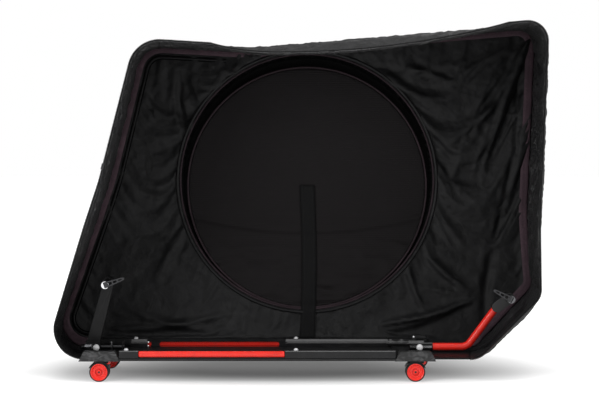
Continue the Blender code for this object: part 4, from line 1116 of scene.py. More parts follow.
# Folds of the back panel: start and end (x, z), half width, height towards the open side
FOLDS = (
    ((0.790, 0.955), (0.520, 0.480), 0.014, 0.014),
    ((0.795, 0.950), (0.570, 0.800), 0.012, 0.012),
    ((0.770, 0.930), (0.640, 0.560), 0.011, 0.013),
    ((0.640, 0.880), (0.400, 0.850), 0.010, 0.010),
    ((0.560, 0.830), (0.350, 0.880), 0.009, 0.009),
    ((0.700, 0.780), (0.540, 0.640), 0.012, 0.011),
    ((0.690, 0.420), (0.640, 0.110), 0.012, -0.010),
    ((0.460, 0.345), (0.600, 0.215), 0.012, 0.012),
    ((0.420, 0.300), (0.470, 0.160), 0.010, 0.010),
    ((0.353, 0.124), (0.611, 0.190), 0.0075, 0.017),
    ((0.360, 0.108), (0.550, 0.160), 0.008, 0.009),
    ((-0.240, 0.850), (-0.215, 0.650), 0.012, -0.012),
    ((-0.210, 0.830), (-0.150, 0.740), 0.010, 0.008),
    ((-0.330, 0.790), (-0.265, 0.730), 0.010, -0.008),
    ((-0.220, 0.410), (-0.300, 0.250), 0.014, 0.010),
    ((-0.180, 0.380), (-0.090, 0.220), 0.012, -0.010),
    ((-0.430, 0.110), (-0.100, 0.150), 0.009, 0.010),
    ((-0.380, 0.165), (-0.140, 0.105), 0.010, 0.008),
    ((-0.350, 0.560), (-0.250, 0.480), 0.018, 0.009),
    ((0.751, 0.880), (0.748, 0.700), 0.008, -0.012),
    ((0.748, 0.720), (0.7396, 0.610), 0.008, -0.012),
    ((0.7396, 0.630), (0.702, 0.465), 0.009, -0.013),
    ((0.703, 0.485), (0.685, 0.360), 0.009, -0.012),
)
# Sharp creases pressed into the settled back panel: start and end (x, z), half width, height
CREASES = (
    ((0.345, 0.120), (0.606, 0.192), 0.0110, 0.0080),
    ((0.455, 0.232), (0.590, 0.205), 0.0080, 0.0070),
    ((0.780, 0.940), (0.600, 0.700), 0.0080, 0.0080),
    ((0.740, 0.930), (0.520, 0.800), 0.0080, 0.0070),
    ((0.700, 0.900), (0.560, 0.560), 0.0080, 0.0070),
    ((0.690, 0.760), (0.610, 0.520), 0.0075, 0.0060),
    ((-0.250, 0.860), (-0.190, 0.660), 0.0080, 0.0060),
    ((-0.300, 0.380), (-0.140, 0.250), 0.0085, 0.0060),
    ((-0.420, 0.150), (-0.160, 0.118), 0.0075, 0.0060),
)


def beside(here, start, end, bow):
    """How far along a crease a place lies, as a share, and how far to the side of its bowed line."""
    run = Vector(end) - Vector(start)
    away = here - Vector(start)
    share = away.dot(run) / run.length_squared
    return share, away.cross(run.normalized()) - bow * run.length * math.sin(math.pi * share)


def crease_height(x, z):
    """How far the sharp creases stand out towards the open side."""
    total = 0.0
    for start, end, width, height in CREASES:
        share, side = beside(Vector((x, z)), start, end, 0.02)
        if 0 < share < 1:
            total += height * math.sin(math.pi * share) ** 0.6 * math.exp(-abs(side) / width)
    return total


def pleat_height(x, z):
    """Height of the small pleats that run out from the wheel pocket's ring."""
    away = Vector((x - POCKET_X, z - POCKET_Z))
    reach = away.length - POCKET_RADIUS
    if reach < 0:
        return 0.0
    turn = math.atan2(away.y, away.x)
    around = Vector((PLEATS_ROUND * math.cos(turn), PLEATS_ROUND * math.sin(turn), 6 * reach))
    return PLEAT_HEIGHT * crease_noise(around, 1.0, 6.4) * math.exp(-reach / PLEAT_REACH)


def fold_height(x, z):
    """Height of the main folds at a place of the back panel."""
    total = pleat_height(x, z)
    for start, end, width, height in FOLDS:
        share, side = beside(Vector((x, z)), start, end, 0.03)
        if not -0.05 < share < 1.05:
            continue
        taper = math.sin(math.pi * min(max((share + 0.05) / 1.1, 0.0), 1.0)) ** 0.7
        total += height * taper * math.exp(-((side / width) ** 2)) * (1 - 0.7 * side / width)
    return total


def back_outline(spacing):
    """The back panel's edge: the grown outline, with its foot cut back over the rails."""
    around = outline(FAR_GROWTH, 0.0, spacing)
    seat = [
        Vector((SEAT_REACH, BASE_UNDERSIDE)),
        Vector((SEAT_REACH, BASE_TOP + GAP)),
        Vector((-SEAT_REACH, BASE_TOP + GAP)),
        Vector((-SEAT_REACH, BASE_UNDERSIDE)),
    ]
    chain = [around[-1], *seat, around[0]]
    foot = []
    for a, b in zip(chain, chain[1:]):
        count = max(1, round((b - a).length / spacing))
        foot += [a.lerp(b, step / count) for step in range(1, count + 1)]
    return around + foot[:-1]


def pocket_circle(radius, spacing, drop=0.0):
    count = round(2 * math.pi * radius / spacing)
    turns = [2 * math.pi * i / count for i in range(count)]
    return [
        Vector((POCKET_X + radius * math.cos(turn), POCKET_Z - drop + radius * math.sin(turn)))
        for turn in turns
    ]


def make_back(spacing):
    """The far side panel, with its hole for the wheel pocket and its main folds."""
    hole = pocket_circle(POCKET_RADIUS, spacing)
    edge = back_outline(spacing)
    points, faces, held = cut_cloth(edge, [hole], spacing)
    edge_tree = flat_tree([points[i] for i in held])

    def place(point):
        near_edge = edge_tree.find((point.x, point.y, 0))[2]
        height = fold_height(point.x, point.y) * smooth_step(0.0, FOLD_EASE, near_edge)
        return Vector((point.x, flare(point.y) + GAP - height, point.y))

    mesh = cloth_mesh(points, faces, place)
    thing = add_piece("back_cloth", mesh, finish("nylon"), "case", ("back_panel",))
    hold(thing, held)
    flat_area(points, faces)
    return thing


def make_floor_cloth(spacing):
    """The floor between the rails, in the open between the two feet of the shell."""
    near = outline(0.0, 0.0, spacing)
    far = outline(FAR_GROWTH, 0.0, spacing)
    count = round((near[-1].x - near[0].x) / spacing)
    columns = 24
    rows = []
    for i in range(count + 1):
        # From the front end to the rear, so that the faces look down
        a = near[-1].lerp(near[0], i / count)
        b = far[-1].lerp(far[0], i / count)
        half = flare(a.y)
        rows.append([
            Vector((a.x + (b.x - a.x) * j / columns, -half + 2 * half * j / columns, a.y))
            for j in range(columns + 1)
        ])
    mesh = grid_mesh(rows, row_map(rows))
    thing = add_piece("floor_cloth", mesh, finish("nylon"), "case", ("floor_panel",))
    solidify(thing, SHELL_WALL, -1)


# Section (y, z) of the cloth in front of a far bracket
APRON_LINE = (
    (0.1136, BASE_UNDERSIDE + 0.0045), (0.1136, 0.0715), (0.1140, 0.0795), (0.1160, 0.0832),
    (0.1200, BASE_TOP + 0.0014), (0.1336, BASE_TOP + 0.0014),
)
APRON_START = 0.366


def make_apron(name, start, end):
    """Cloth turned down in front of one far bracket, from the back panel to the floor."""
    columns = 14
    rows = []
    for i in range(columns + 1):
        x = start + (end - start) * i / columns
        wave = 0.0006 * math.sin(23 * i / columns)
        rows.append([Vector((x, y + wave, z)) for y, z in APRON_LINE])
    mesh = grid_mesh(rows, row_map(rows))
    thing = add_piece(name, mesh, finish("nylon"), "case")
    solidify(thing, 0.0012, 1)


class TRAVELCASE_OT_sew_shell(bpy.types.Operator):
    """Sew the walls, toe, floor and back panel, and let their cloth settle into folds"""

    bl_idname = "travel_case.sew_shell"
    bl_label = "Sew shell"

    def execute(self, context):
        sizes = context.scene.case_sizes
        spacing = sizes.cloth_spacing
        panels = ("rear_end_panel", "top_panel", "front_end_panel")
        wall = make_wall("wall_cloth", panels, 0, 5.5, spacing, finish("wall_nylon"))
        toe = make_wall("toe_cloth", ("toe_panel",), 6, 7, spacing, finish("painted_light_toe_nylon"))
        back = make_back(spacing)
        make_floor_cloth(spacing)
        make_apron("rear_bracket_apron", -SEAT_REACH, -APRON_START)
        make_apron("front_bracket_apron", APRON_START, SEAT_REACH)
        let_settle([wall, toe, back], sizes.slack, 18, 0.012)
        for thing, seed, fine in ((wall, 3.1, 1.1), (toe, 5.3, 0.8), (back, 8.7, 0.4)):
            push(thing.data, lambda place: calm(place - BASE) * sizes.crinkle * (
                crease_noise(place, 0.060, seed) + fine * crease_noise(place, 0.022, seed + 1)))
        for vertex in back.data.vertices:
            own = vertex.co - BASE
            vertex.co.y -= crease_height(own.x, own.z)
        for thing in (wall, toe):
            solidify(thing, SHELL_WALL, -1)
            thing.modifiers["wall"].material_offset = 1
        solidify(back, SHELL_WALL, -1)
        return {"FINISHED"}


# Wheel pocket

# Distance between the points of a piping, zip or row of stitches round the pocket
TRIM_STEP = 0.006
# How far a row of stitches lies from an edge
SEAM_INSET = 0.008
# Outer face of the drum that carries the pocket's cover
DRUM_RADIUS = POCKET_RADIUS + SHELL_WALL + 0.0008
ZIP_WIDTH = 0.012
# Most that the padded divider swells, and the most that it sags under its seam
PUFF = 0.0035


def divider_height(x, z):
    """How far the divider's front stands towards the open side."""
    across = x - POCKET_X
    inner = math.hypot(across, z - (POCKET_Z - INNER_RING_DROP))
    outer = math.hypot(across, z - POCKET_Z)
    band = smooth_step(INNER_RING_RADIUS - 0.004, INNER_RING_RADIUS + 0.004, inner)
    rim = smooth_step(POCKET_RADIUS - 0.010, POCKET_RADIUS - 0.001, outer)
    puff = PUFF * (1 - (inner / INNER_RING_RADIUS) ** 4)
    seam_z = seam_height(across)
    seam = -0.004 * math.exp(-(((z - seam_z) / 0.006) ** 2))
    slack = PUFF * smooth_step(seam_z, seam_z - 0.10, z)
    wave = slack * crease_noise(Vector((x, z * 2.2, 0)), 0.11, 4.2)
    soft = 0.0010 * noise.noise(Vector((x, z, 0)) / 0.09)
    return (puff + seam + wave + soft) * (1 - band) - 0.004 * band * (1 - rim)


def seam_height(across):
    """Height of the seam across the divider, which hangs a little in its middle."""
    share = min(abs(across) / INNER_RING_RADIUS, 1.0)
    return 0.388 + 0.045 * share ** 2


def on_divider(point, lift):
    """A place in front of the divider's face."""
    return Vector((point.x, flare(point.y) + GAP - divider_height(point.x, point.y) - lift, point.y))


def make_divider(spacing):
    """The padded disc, and the gap behind its drooping upper edge: a recessed sheet of near-black nylon that
    paints the shade in the gap.
    """
    ring = pocket_circle(INNER_RING_RADIUS, spacing, INNER_RING_DROP)
    points, faces, _ = cut_cloth(ring, [], spacing)
    mesh = cloth_mesh(points, faces, lambda point: on_divider(point, 0.0))
    thing = add_piece("divider_cloth", mesh, finish("lining"), "case", ("pocket_divider",))
    solidify(thing, DIVIDER_WALL, -1)

    outer = pocket_circle(POCKET_RADIUS - 0.0008, spacing)
    hole = pocket_circle(INNER_RING_RADIUS - 0.012, spacing, INNER_RING_DROP)
    points, faces, _ = cut_cloth(outer, [hole], spacing)

    def place(point):
        away = math.hypot(point.x - POCKET_X, point.y - POCKET_Z)
        high = smooth_step(-0.3, 0.9, (point.y - POCKET_Z) / POCKET_RADIUS)
        ease = 1 - smooth_step(POCKET_RADIUS - 0.009, POCKET_RADIUS - 0.001, away)
        return Vector((point.x, flare(point.y) + GAP + (0.011 + 0.018 * high) * ease, point.y))

    band = add_piece("pocket_gap_cloth", cloth_mesh(points, faces, place), finish("painted_shade_nylon"), "case")
    solidify(band, 0.003, -1)
    strip = 2 * math.pi * (POCKET_RADIUS - 0.016)
    flat_area(points, faces) / strip


def ring_path(radius, drop, place):
    """Points round the pocket, each put in space by place(point)."""
    return [place(point) for point in pocket_circle(radius, TRIM_STEP, drop)]


def at_depth(depth):
    return lambda point: Vector((point.x, depth, point.y))


def on_back(lift):
    return lambda point: Vector((point.x, flare(point.y) - lift, point.y))


def make_pocket_pipings(sizes):
    outer = ring_path(POCKET_RADIUS, 0.0, on_back(0.0005))
    inner = ring_path(INNER_RING_RADIUS, INNER_RING_DROP, lambda point: on_divider(point, 0.0008))
    add_piping("pocket_pipings", [(outer, True), (inner, True)], "dark_binding", "brown_binding",
               sizes.piping_radius)
    roll = ring_path(POCKET_RADIUS + 0.0088, 0.0, on_back(0.0010))
    add_piping("pocket_hem_roll", [(roll, True)], "nylon", "black_nylon", 0.0050, 12)
    row = ring_path(INNER_RING_RADIUS - SEAM_INSET, INNER_RING_DROP, lambda point: on_divider(point, 0.0002))
    stitch("divider_stitches", [(row, True)])


def make_strap():
    """Webbing from a sewn tab in the middle of the divider down to the floor."""
    low, high = own_box("pocket_strap")
    middle = (low.x + high.x) / 2
    half = (high.x - low.x) / 2
    count = 60
    rows = []
    for i in range(count + 1):
        z = high.z + (low.z - high.z) * i / count
        lean = 0.006 * math.sin(math.pi * i / count)
        row = []
        for j in range(7):
            x = middle + lean + half * (j / 3 - 1)
            lift = 0.0012 + 0.0004 * math.cos(math.pi * (j / 3 - 1))
            in_pocket = math.hypot(x - POCKET_X, z - POCKET_Z) < POCKET_RADIUS
            front = divider_height(x, z) if in_pocket else fold_height(x, z)
            wave = 0.0015 * noise.noise(Vector((x * 4, 0, z * 14)))
            row.append(Vector((x, flare(z) - max(front, 0.0) - lift + wave - 0.001, z)))
        rows.append(row)
    mesh = grid_mesh(rows, row_map(rows))
    thing = add_piece("strap_webbing", mesh, finish("webbing"), "case", ("pocket_strap",))
    solidify(thing, 0.0018, 1)
    stitch("strap_stitches", [([row[j] - Vector((0, 0.0021, 0)) for row in rows], False) for j in (1, 5)])


def make_gusset(spacing):
    """The drum wall between the back panel and the pocket's cover."""
    count = 14
    rows = []
    for p in reversed(pocket_circle(DRUM_RADIUS, spacing)):
        start = flare(p.y) + GAP + SHELL_WALL * 1.03
        end = COVER_Y - GAP
        way = (p - Vector((POCKET_X, POCKET_Z))).normalized()
        row = []
        for j in range(count + 1):
            share = j / count
            y = start + (end - start) * share
            ease = math.sin(math.pi * share)
            wrinkle = 0.0020 * crease_noise(Vector((p.x * 1.6, y * 0.5, p.y * 1.6)), 0.07, 2.6) * ease
            at = p + way * (wrinkle - 0.002 * ease)
            row.append(Vector((at.x, y, at.y)))
        rows.append(row)
    mesh = grid_mesh(rows, row_map(rows), closed=True)
    thing = add_piece("gusset_cloth", mesh, finish("nylon"), "case", ("pocket_gusset",))
    solidify(thing, SHELL_WALL, -1)


def make_cover(spacing):
    """The pocket's round cover, drawn in along its edge."""
    edge = DRUM_RADIUS
    points, faces, _ = cut_cloth(pocket_circle(edge, spacing), [], spacing)

    def place(point):
        away = Vector((point.x - POCKET_X, point.y - POCKET_Z))
        share = away.length / edge
        turn = math.atan2(away.y, away.x)
        crown = POCKET_CROWN * (1 - share ** 2)
        pull = 0.0022 * math.sin(23 * turn + 2 * math.sin(5 * turn)) * smooth_step(0.55, 0.9, share)
        pull *= 1 - smooth_step(0.94, 1.0, share)
        soft = 0.0022 * crease_noise(Vector((point.x, point.y, 0)), 0.16, 7.7) * (1 - share ** 6)
        return Vector((point.x, COVER_Y + SHELL_WALL + crown + pull + soft * 0.6, point.y))

    mesh = cloth_mesh(points, [tuple(reversed(face)) for face in faces], place)
    thing = add_piece("cover_cloth", mesh, finish("nylon"), "pocket_flap", ("pocket_cover",))
    solidify(thing, SHELL_WALL, -1)
    flat_area(points, faces)
    ring = ring_path(edge - 0.0005, 0.0, at_depth(COVER_Y + SHELL_WALL * 0.6))
    add_piping("cover_piping", [(ring, True)], "dark_binding", "brown_binding", 0.0026, body="pocket_flap")
    row = ring_path(edge - SEAM_INSET, 0.0, at_depth(COVER_Y + SHELL_WALL + 0.0016))
    stitch("cover_stitches", [(row, True)], "pocket_flap")


def make_pocket_zip():
    """Zip tape and coil round the drum."""
    radius = DRUM_RADIUS + GAP
    low = COVER_Y - SHELL_WALL - ZIP_WIDTH
    circle = pocket_circle(radius + 0.0007, TRIM_STEP)
    rows = [[Vector((p.x, low + ZIP_WIDTH * j / 4, p.y)) for j in range(5)] for p in reversed(circle)]
    mesh = grid_mesh(rows, row_map(rows), closed=True)
    thing = add_piece("pocket_zip_tape", mesh, finish("zip_tape"), "case", ("pocket_zip",))
    solidify(thing, 0.0007, -1)
    path = ring_path(radius + 0.0010, 0.0, at_depth(low + ZIP_WIDTH / 2))
    add_teeth("pocket_zip_coil", path, True, (0.0015, 0.0036, 0.0009))
    sewn = [
        (ring_path(radius + 0.0009, 0.0, at_depth(low + offset)), True)
        for offset in (0.0015, ZIP_WIDTH - 0.0015)
    ]
    stitch("pocket_zip_stitches", sewn)
    refinish("pocket_zip_slider", finish("dark_metal"), "pocket_slider", 0.0005)


class TRAVELCASE_OT_sew_pocket(bpy.types.Operator):
    """Sew the wheel pocket: divider, pipings, strap, drum, cover and zip"""

    bl_idname = "travel_case.sew_pocket"
    bl_label = "Sew wheel pocket"

    def execute(self, context):
        sizes = context.scene.case_sizes
        make_divider(sizes.cloth_spacing)
        make_pocket_pipings(sizes)
        make_strap()
        make_gusset(sizes.cloth_spacing)
        make_cover(sizes.cloth_spacing)
        make_pocket_zip()
        return {"FINISHED"}


# Trims

# Distance between the points of what follows the outline
SEAM_STEP = 0.008
BINDING_WIDTH = 0.024


def make_seam_binding():
    """Brown binding along the back seam, with its two rows of stitches."""
    inset = SHELL_WALL + 0.0008
    columns = 6
    lines = [
        outline(FAR_GROWTH, inset + BINDING_WIDTH * j / columns, SEAM_STEP) for j in range(columns + 1)
    ]
    rows = []
    for points in zip(*lines):
        row = []
        for j, p in enumerate(points):
            share = j / columns
            crown = 0.0016 * math.sin(math.pi * share)
            ripple = 0.0007 * noise.noise(Vector((p.x * 26, p.y * 26, 0.3)))
            row.append(Vector((p.x, flare(p.y) - GAP - 0.0010 - crown - ripple, p.y)))
        rows.append(row)
    mesh = grid_mesh(rows, row_map(rows))
    thing = add_piece("seam_binding_tape", mesh, finish("binding"), "case", ("back_seam_tape",))
    solidify(thing, 0.0012, -1)
    stitch("binding_stitches", [([row[j] - Vector((0, 0.0004, 0)) for row in rows], False) for j in (1, 5)])


def make_panel_piping(sizes):
    """Corded seam on the back panel, inside the binding, up the rear side, with a thin near-black cord on
    each side of it that paints the shade of its grooves.
    """
    rows = []
    for inset, lift in ((0.037, 0.0004), (0.0415, 0.0014), (0.046, 0.0004)):
        line = outline(FAR_GROWTH, inset, SEAM_STEP, 0, 2.5)
        path = [Vector((p.x, flare(p.y) - max(fold_height(p.x, p.y), 0.0) - lift, p.y)) for p in line]
        rows.append((path, False))
    add_piping("rear_corded_seam", [rows[1]], "nylon", "black_nylon", sizes.piping_radius)
    add_piping("rear_seam_painted_shade", [rows[0], rows[2]], "painted_shade_nylon", "black_nylon", 0.0018, 8)


def make_rim_zip():
    """The half zip left on the open rim: tape, teeth on its free edge, stitches and slider."""
    rows = []
    for p in outline(0.0, 0.0011, SEAM_STEP)[3:]:
        edge = near_rim(p) - Vector((0, GAP, 0))
        rows.append([edge - Vector((0, ZIP_WIDTH * (1 - j / 4), 0)) for j in range(5)])
    mesh = grid_mesh(rows, row_map(rows))
    thing = add_piece("rim_zip_tape", mesh, finish("zip_tape"), "case", ("rim_zip",))
    solidify(thing, 0.0010, -1)
    free = [row[0] + Vector((0, 0.0012, 0)) for row in rows]
    add_teeth("rim_zip_coil", free, False, (0.0015, 0.0030, 0.0024))
    wall_line = outline(0.0, 0.0, SEAM_STEP)
    sewn = [([near_rim(p) + Vector((0, back, 0)) for p in wall_line], False) for back in (SEAM_INSET, 0.022)]
    stitch("rim_stitches", sewn)
    refinish("rim_zip_slider", finish("dark_metal"), "rim_slider", 0.0005)


def make_handle(node):
    """A grab handle of doubled webbing with a box of stitches at each end."""
    low, high = own_box(node)
    middle = (low + high) / 2
    half = (high.z - low.z) / 2
    rise = high.y - low.y - 0.003
    count = 48
    rows = []
    for i in range(count + 1):
        share = 2 * i / count - 1
        lift = rise * (1 - smooth_step(0.18, 0.74, abs(share)))
        z = middle.z - share * half
        narrow = 1 - 0.25 * (1 - smooth_step(0.25, 0.65, abs(share)))
        width = (high.x - low.x) / 2 * narrow
        rows.append([Vector((middle.x + width * (j / 3 - 1), low.y + lift, z)) for j in range(7)])
    mesh = grid_mesh(rows, row_map(rows))
    thing = add_piece(f"{node}_webbing", mesh, finish("webbing"), "case", (node,))
    solidify(thing, 0.003, 1)
    boxes = []
    for end in (-1, 1):
        outer = middle.z + end * (half - 0.004)
        inner = middle.z + end * (half - 0.025)
        x = (high.x - low.x) / 2 - 0.004
        corners = [(-x, outer), (x, outer), (x, inner), (-x, inner)]
        loop = [Vector((middle.x + cx, low.y + 0.0033, cz)) for cx, cz in corners]
        boxes += [(loop, True), (loop[::2], False), (loop[1::2], False)]
    stitch(f"{node}_stitches", boxes)


class TRAVELCASE_OT_sew_trims(bpy.types.Operator):
    """Sew the bindings, the rim zip and the grab handles"""

    bl_idname = "travel_case.sew_trims"
    bl_label = "Sew trims"

    def execute(self, context):
        sizes = context.scene.case_sizes
        make_seam_binding()
        make_panel_piping(sizes)
        make_rim_zip()
        for node in ("rear_grab_handle", "front_grab_handle"):
            make_handle(node)
        return {"FINISHED"}


# Base

# How far the far bar sits under the near one, and its height
FAR_BAR_DROP = 0.0074
FAR_BAR_HEIGHT = 0.0146
# Wall of the thin cover on a rail beside its bar
BAR_COVER = 0.0005
# A rail's section, as depth from its inner face and height: foot, step over the foot, upper edge
RAIL_TOP = 0.0270
RAIL_FOOT = ((0.0260, 0.0), (0.0270, 0.0008), (0.0270, 0.0040), (0.0262, 0.0048), (0.0200, 0.0050))
RAIL_STEP = ((0.0200, 0.0068), (0.0240, 0.0074))
RAIL_EDGE = ((0.0240, 0.0252), (0.0222, RAIL_TOP), (0.0034, RAIL_TOP))
# Its inner face: a sloping band and a thin ledge under it
LEDGES = ((0.0022, 0.0266), (-0.0006, 0.0194), (0.0032, 0.0190), (0.0010, 0.0176), (-0.0006, 0.0171),
          (-0.0012, 0.0156), (0.0, 0.0151))
# Height that the near rail is cut down to beside its bar
NEAR_BAR_SEAT = 0.0089


def make_bars():
    """Both red bars, the far one lower in its seat and in a darker red that paints its shade, with its black
    band and end sleeve.
    """
    refinish("near_bar", finish("red_paint"), edge=0.0, angle=50)
    low, high = own_box("far_bar")
    high.z -= FAR_BAR_DROP
    low.z = high.z - FAR_BAR_HEIGHT
    bar = rounded_box(low, high, 0.0040, 4)
    add_piece("far_bar_finished", bar, finish("painted_shade_red"), "case", ("far_bar",))
    bands = [
        rounded_box((start, low.y - 0.0008, low.z + 0.0002), (end, high.y + 0.0008, high.z + 0.0010), 0.0010)
        for start, end in ((-0.310, -0.284), (0.055, high.x + 0.006))
    ]
    add_piece("far_bar_bands", joined(bands), finish("dull_plastic"))


def make_rail(side):
    """A rail with a foot lip, a groove over it, a chamfered top edge, and ledges on its inner face.

    Beside the bar it is cut down to the foot, with a thin cover on top. Its top edge and ledge faces are
    pale grey: painted highlights.
    """
    low, high = own_box(f"{side}_rail")
    bar_low, bar_high = own_box(f"{side}_bar")
    whole = [(0.0, 0.0), *RAIL_FOOT, *RAIL_STEP, *RAIL_EDGE, *LEDGES]
    # Faces in pale grey: painted highlights along the top edge and the ledges
    lit = {whole.index(corner) for corner in (RAIL_EDGE[0], LEDGES[0], LEDGES[3], LEDGES[4])}
    if side == "near":
        inner, out = high.y, -1
        seat = NEAR_BAR_SEAT
        cover_foot = RAIL_TOP + 0.0001
        seated = [(0.0, 0.0), *RAIL_FOOT, *RAIL_STEP, (RAIL_STEP[1][0], seat), (0.0, seat)]
    else:
        inner, out = low.y, 1
        bar_top = bar_high.z - FAR_BAR_DROP
        seat = bar_top - FAR_BAR_HEIGHT - GAP - low.z
        cover_foot = bar_top + GAP - low.z
        seated = [(0.0, 0.0), RAIL_FOOT[0], (RAIL_FOOT[1][0], seat), (0.0, seat)]
    cover_top = RAIL_TOP + BAR_COVER
    cover = [(-0.0006, cover_foot), (0.0236, cover_foot), (0.0236, cover_top), (-0.0006, cover_top)]
    start, end = bar_low.x - GAP, bar_high.x + GAP
    parts = []
    for first, last, section in (
            (low.x, start, whole), (end, high.x, whole), (start, end, seated), (start, end, cover)):
        places = [(inner + out * depth, low.z + up) for depth, up in section]
        parts.append(extruded(places, first, last, lit=lit if section is whole else ()))
    mesh = shade(joined(parts), 25)
    slots = [face.material_index for face in mesh.polygons]
    add_piece(f"{side}_rail_finished", mesh, finish("rail"), "case", (f"{side}_rail",))
    mesh.materials.append(finish("ledge"))
    mesh.polygons.foreach_set("material_index", slots)


def make_ledge_ends():
    """Front ends of the far rail's two ledges, which run on past the bracket's apron, in the pale grey of
    the painted highlights.
    """
    low, high = own_box("far_rail")
    section = [(low.y - 0.0036 + depth, low.z + up) for depth, up in LEDGES]
    mesh = extruded(section, high.x - 0.010, 0.4257)
    add_piece("far_rail_ledge_ends", shade(mesh, 25), finish("ledge"))


def make_bracket(node):
    """A corner bracket: a block with sloping ends, sharp at its foot and rounded above."""
    low, high = own_box(node)
    low.z -= 0.0014
    middle = (low.x + high.x) / 2
    foot = (high.x - low.x) / 2 + 0.0030
    top = foot - 0.0130
    lip = (foot - 0.0006, low.z + 0.0022)
    section = [(-foot, low.z), (foot, low.z), lip, (top, high.z), (-top, high.z), (-lip[0], lip[1])]
    block = extruded([(middle + x, z) for x, z in section], low.y, high.y, "Y")
    mesh = shade(bevelled(block, 0.0016, 3, low.z + 0.001), 40)
    add_piece(f"{node}_finished", mesh, finish("marbled"), "case", (node,))


class TRAVELCASE_OT_finish_base(bpy.types.Operator):
    """Finish the rails, bars, brackets, screws and cross members"""

    bl_idname = "travel_case.finish_base"
    bl_label = "Finish base"

    def execute(self, context):
        for side in ("near", "far"):
            make_rail(side)
            for end in ("rear", "front"):
                make_bracket(f"bracket_{side}_{end}")
            for place in ("rear", "middle"):
                refinish(f"rail_screw_{side}_{place}", finish("screw_metal"), edge=0.0)
        make_ledge_ends()
        make_bars()
        for node in ("rear_cross_member", "front_cross_member"):
            refinish(node, finish("rail"), edge=0.0005)
        return {"FINISHED"}


# Casters

# Turned profiles (radius, height) and the brake tab's side (x, z)
COLLAR = (
    (0.0, 0.0555), (0.0105, 0.0555), (0.0125, 0.0540), (0.0130, 0.0515), (0.0120, 0.0490), (0.0, 0.0490),
)
BOLT = ((0.0, 0.0), (0.0021, 0.0), (0.0027, -0.0006), (0.0027, -0.0014), (0.0, -0.0014))
TAB = ((0.0010, 0.0555), (0.0145, 0.0555), (0.0152, 0.0520), (0.0135, 0.0462), (0.0050, 0.0462))
TAB_HALF_WIDTH = 0.0085
# From a wheel's axle to the stem that its caster swivels on
STEM_OFFSET = 0.0145


def tyre_shape(low, high, radius, wall):
    """One tyre with rounded shoulders and a fine centre groove, between two heights."""
    soft = 0.0024
    middle = (low + high) / 2
    points = [(radius - wall, high)]
    for i in range(5):
        turn = math.pi / 2 * i / 4
        points.append((radius - soft + soft * math.sin(turn), high - soft + soft * math.cos(turn)))
    points += [
        (radius, middle + 0.0006), (radius - 0.0004, middle + 0.0003),
        (radius - 0.0004, middle - 0.0003), (radius, middle - 0.0006),
    ]
    for i in range(5):
        turn = math.pi / 2 * i / 4
        points.append((radius - soft + soft * math.cos(turn), low + soft - soft * math.sin(turn)))
    points.append((radius - wall, low))
    return turned([*points, points[0]], 64)


def hub_shape(low, high, rim):
    """Both wheel discs on their axle, each dished with a raised ring and a cap."""
    half = [
        (0.0, high - 0.0030), (0.0030, high - 0.0030), (0.0031, high - 0.0012), (0.0058, high - 0.0012),
        (0.0066, high - 0.0024), (0.0070, high - 0.0076), (0.0098, high - 0.0080),
        (0.0104, high - 0.0040), (0.0120, high - 0.0034), (0.0140, high - 0.0034),
        (0.0150, high - 0.0044), (rim - 0.0052, high - 0.0046), (rim - 0.0032, high - 0.0006),
        (rim - 0.0022, high), (rim - 0.0006, high), (rim, high - 0.0008), (rim, low), (0.003, low),
    ]
    return turned(half + [(r, -h) for r, h in reversed(half)], 64)


class TRAVELCASE_OT_finish_casters(bpy.types.Operator):
    """Finish the four casters: hoods, collars, brake tabs, wheels and tyres"""

    bl_idname = "travel_case.finish_casters"
    bl_label = "Finish casters"

    def execute(self, context):
        for row in ("near", "far"):
            for end in ("rear", "front"):
                self.finish_one(f"{row}_{end}")
        return {"FINISHED"}

    def finish_one(self, label):
        swivel = f"caster_{label}"
        wheels = f"wheels_{label}"
        low, high = own_box(f"caster_hub_{label}")
        centre = (low + high) / 2
        width = (high.y - low.y) / 2
        refinish(f"caster_hood_{label}", finish("dull_plastic"), swivel, 0.0004)
        way = -1 if label == "far_front" else 1
        stem = Vector((centre.x + way * STEM_OFFSET, centre.y, 0))
        add_piece(f"caster_collar_{label}", stand(turned(COLLAR, 48), stem), finish("dull_plastic"), swivel)
        block = extruded([(way * x, z) for x, z in TAB], -TAB_HALF_WIDTH, TAB_HALF_WIDTH, "Y")
        tab = shade(stand(bevelled(block, 0.0012, 3), stem))
        add_piece(f"caster_brake_tab_{label}", tab, finish("red_plastic"), swivel)
        tyre_low, tyre_high = own_box(f"caster_near_tyre_{label}")
        inner = centre.y - tyre_high.y
        outer = centre.y - tyre_low.y
        bolts = []
        for turn, name in ((90, "near"), (-90, "far")):
            tyre = tyre_shape(inner, outer, (tyre_high.z - tyre_low.z) / 2, 0.0026)
            add_piece(f"{name}_tyre_{label}", stand(tyre, centre, (turn, 0, 0)), finish("rubber"), wheels,
                      (f"caster_{name}_tyre_{label}",))
            depth = Vector((0, math.copysign(width - 0.0016, -turn), 0))
            bolts.append(stand(turned(BOLT, 6), centre + depth, (turn, 0, 0)))
        hub = hub_shape(inner + 0.0006, width, (high.z - low.z) / 2)
        add_piece(f"wheel_discs_{label}", stand(hub, centre, (90, 0, 0)), finish("red_plastic"), wheels,
                  (f"caster_hub_{label}",))
        add_piece(f"axle_bolts_{label}", joined(bolts), finish("dark_metal"), wheels)


# Supports


def add_spline(curve, points, closed=False):
    spline = curve.splines.new("POLY")
    spline.points.add(len(points) - 1)
    spline.use_cyclic_u = closed
    for slot, point in zip(spline.points, points):
        slot.co = (*point, 1)


def round_tube(points, radius):
    """A smooth round tube along points of the case's own frame."""
    curve = bpy.data.curves.new("tube", "CURVE")
    curve.dimensions = "3D"
    curve.bevel_depth = radius
    curve.bevel_resolution = 8
    curve.use_fill_caps = True
    add_spline(curve, points)
    shape = bmesh.new()
    shape.from_mesh(baked(curve))
    bmesh.ops.remove_doubles(shape, verts=shape.verts, dist=0.00002)
    bmesh.ops.recalc_face_normals(shape, faces=shape.faces)
    return shade(mesh_of(shape), 40)


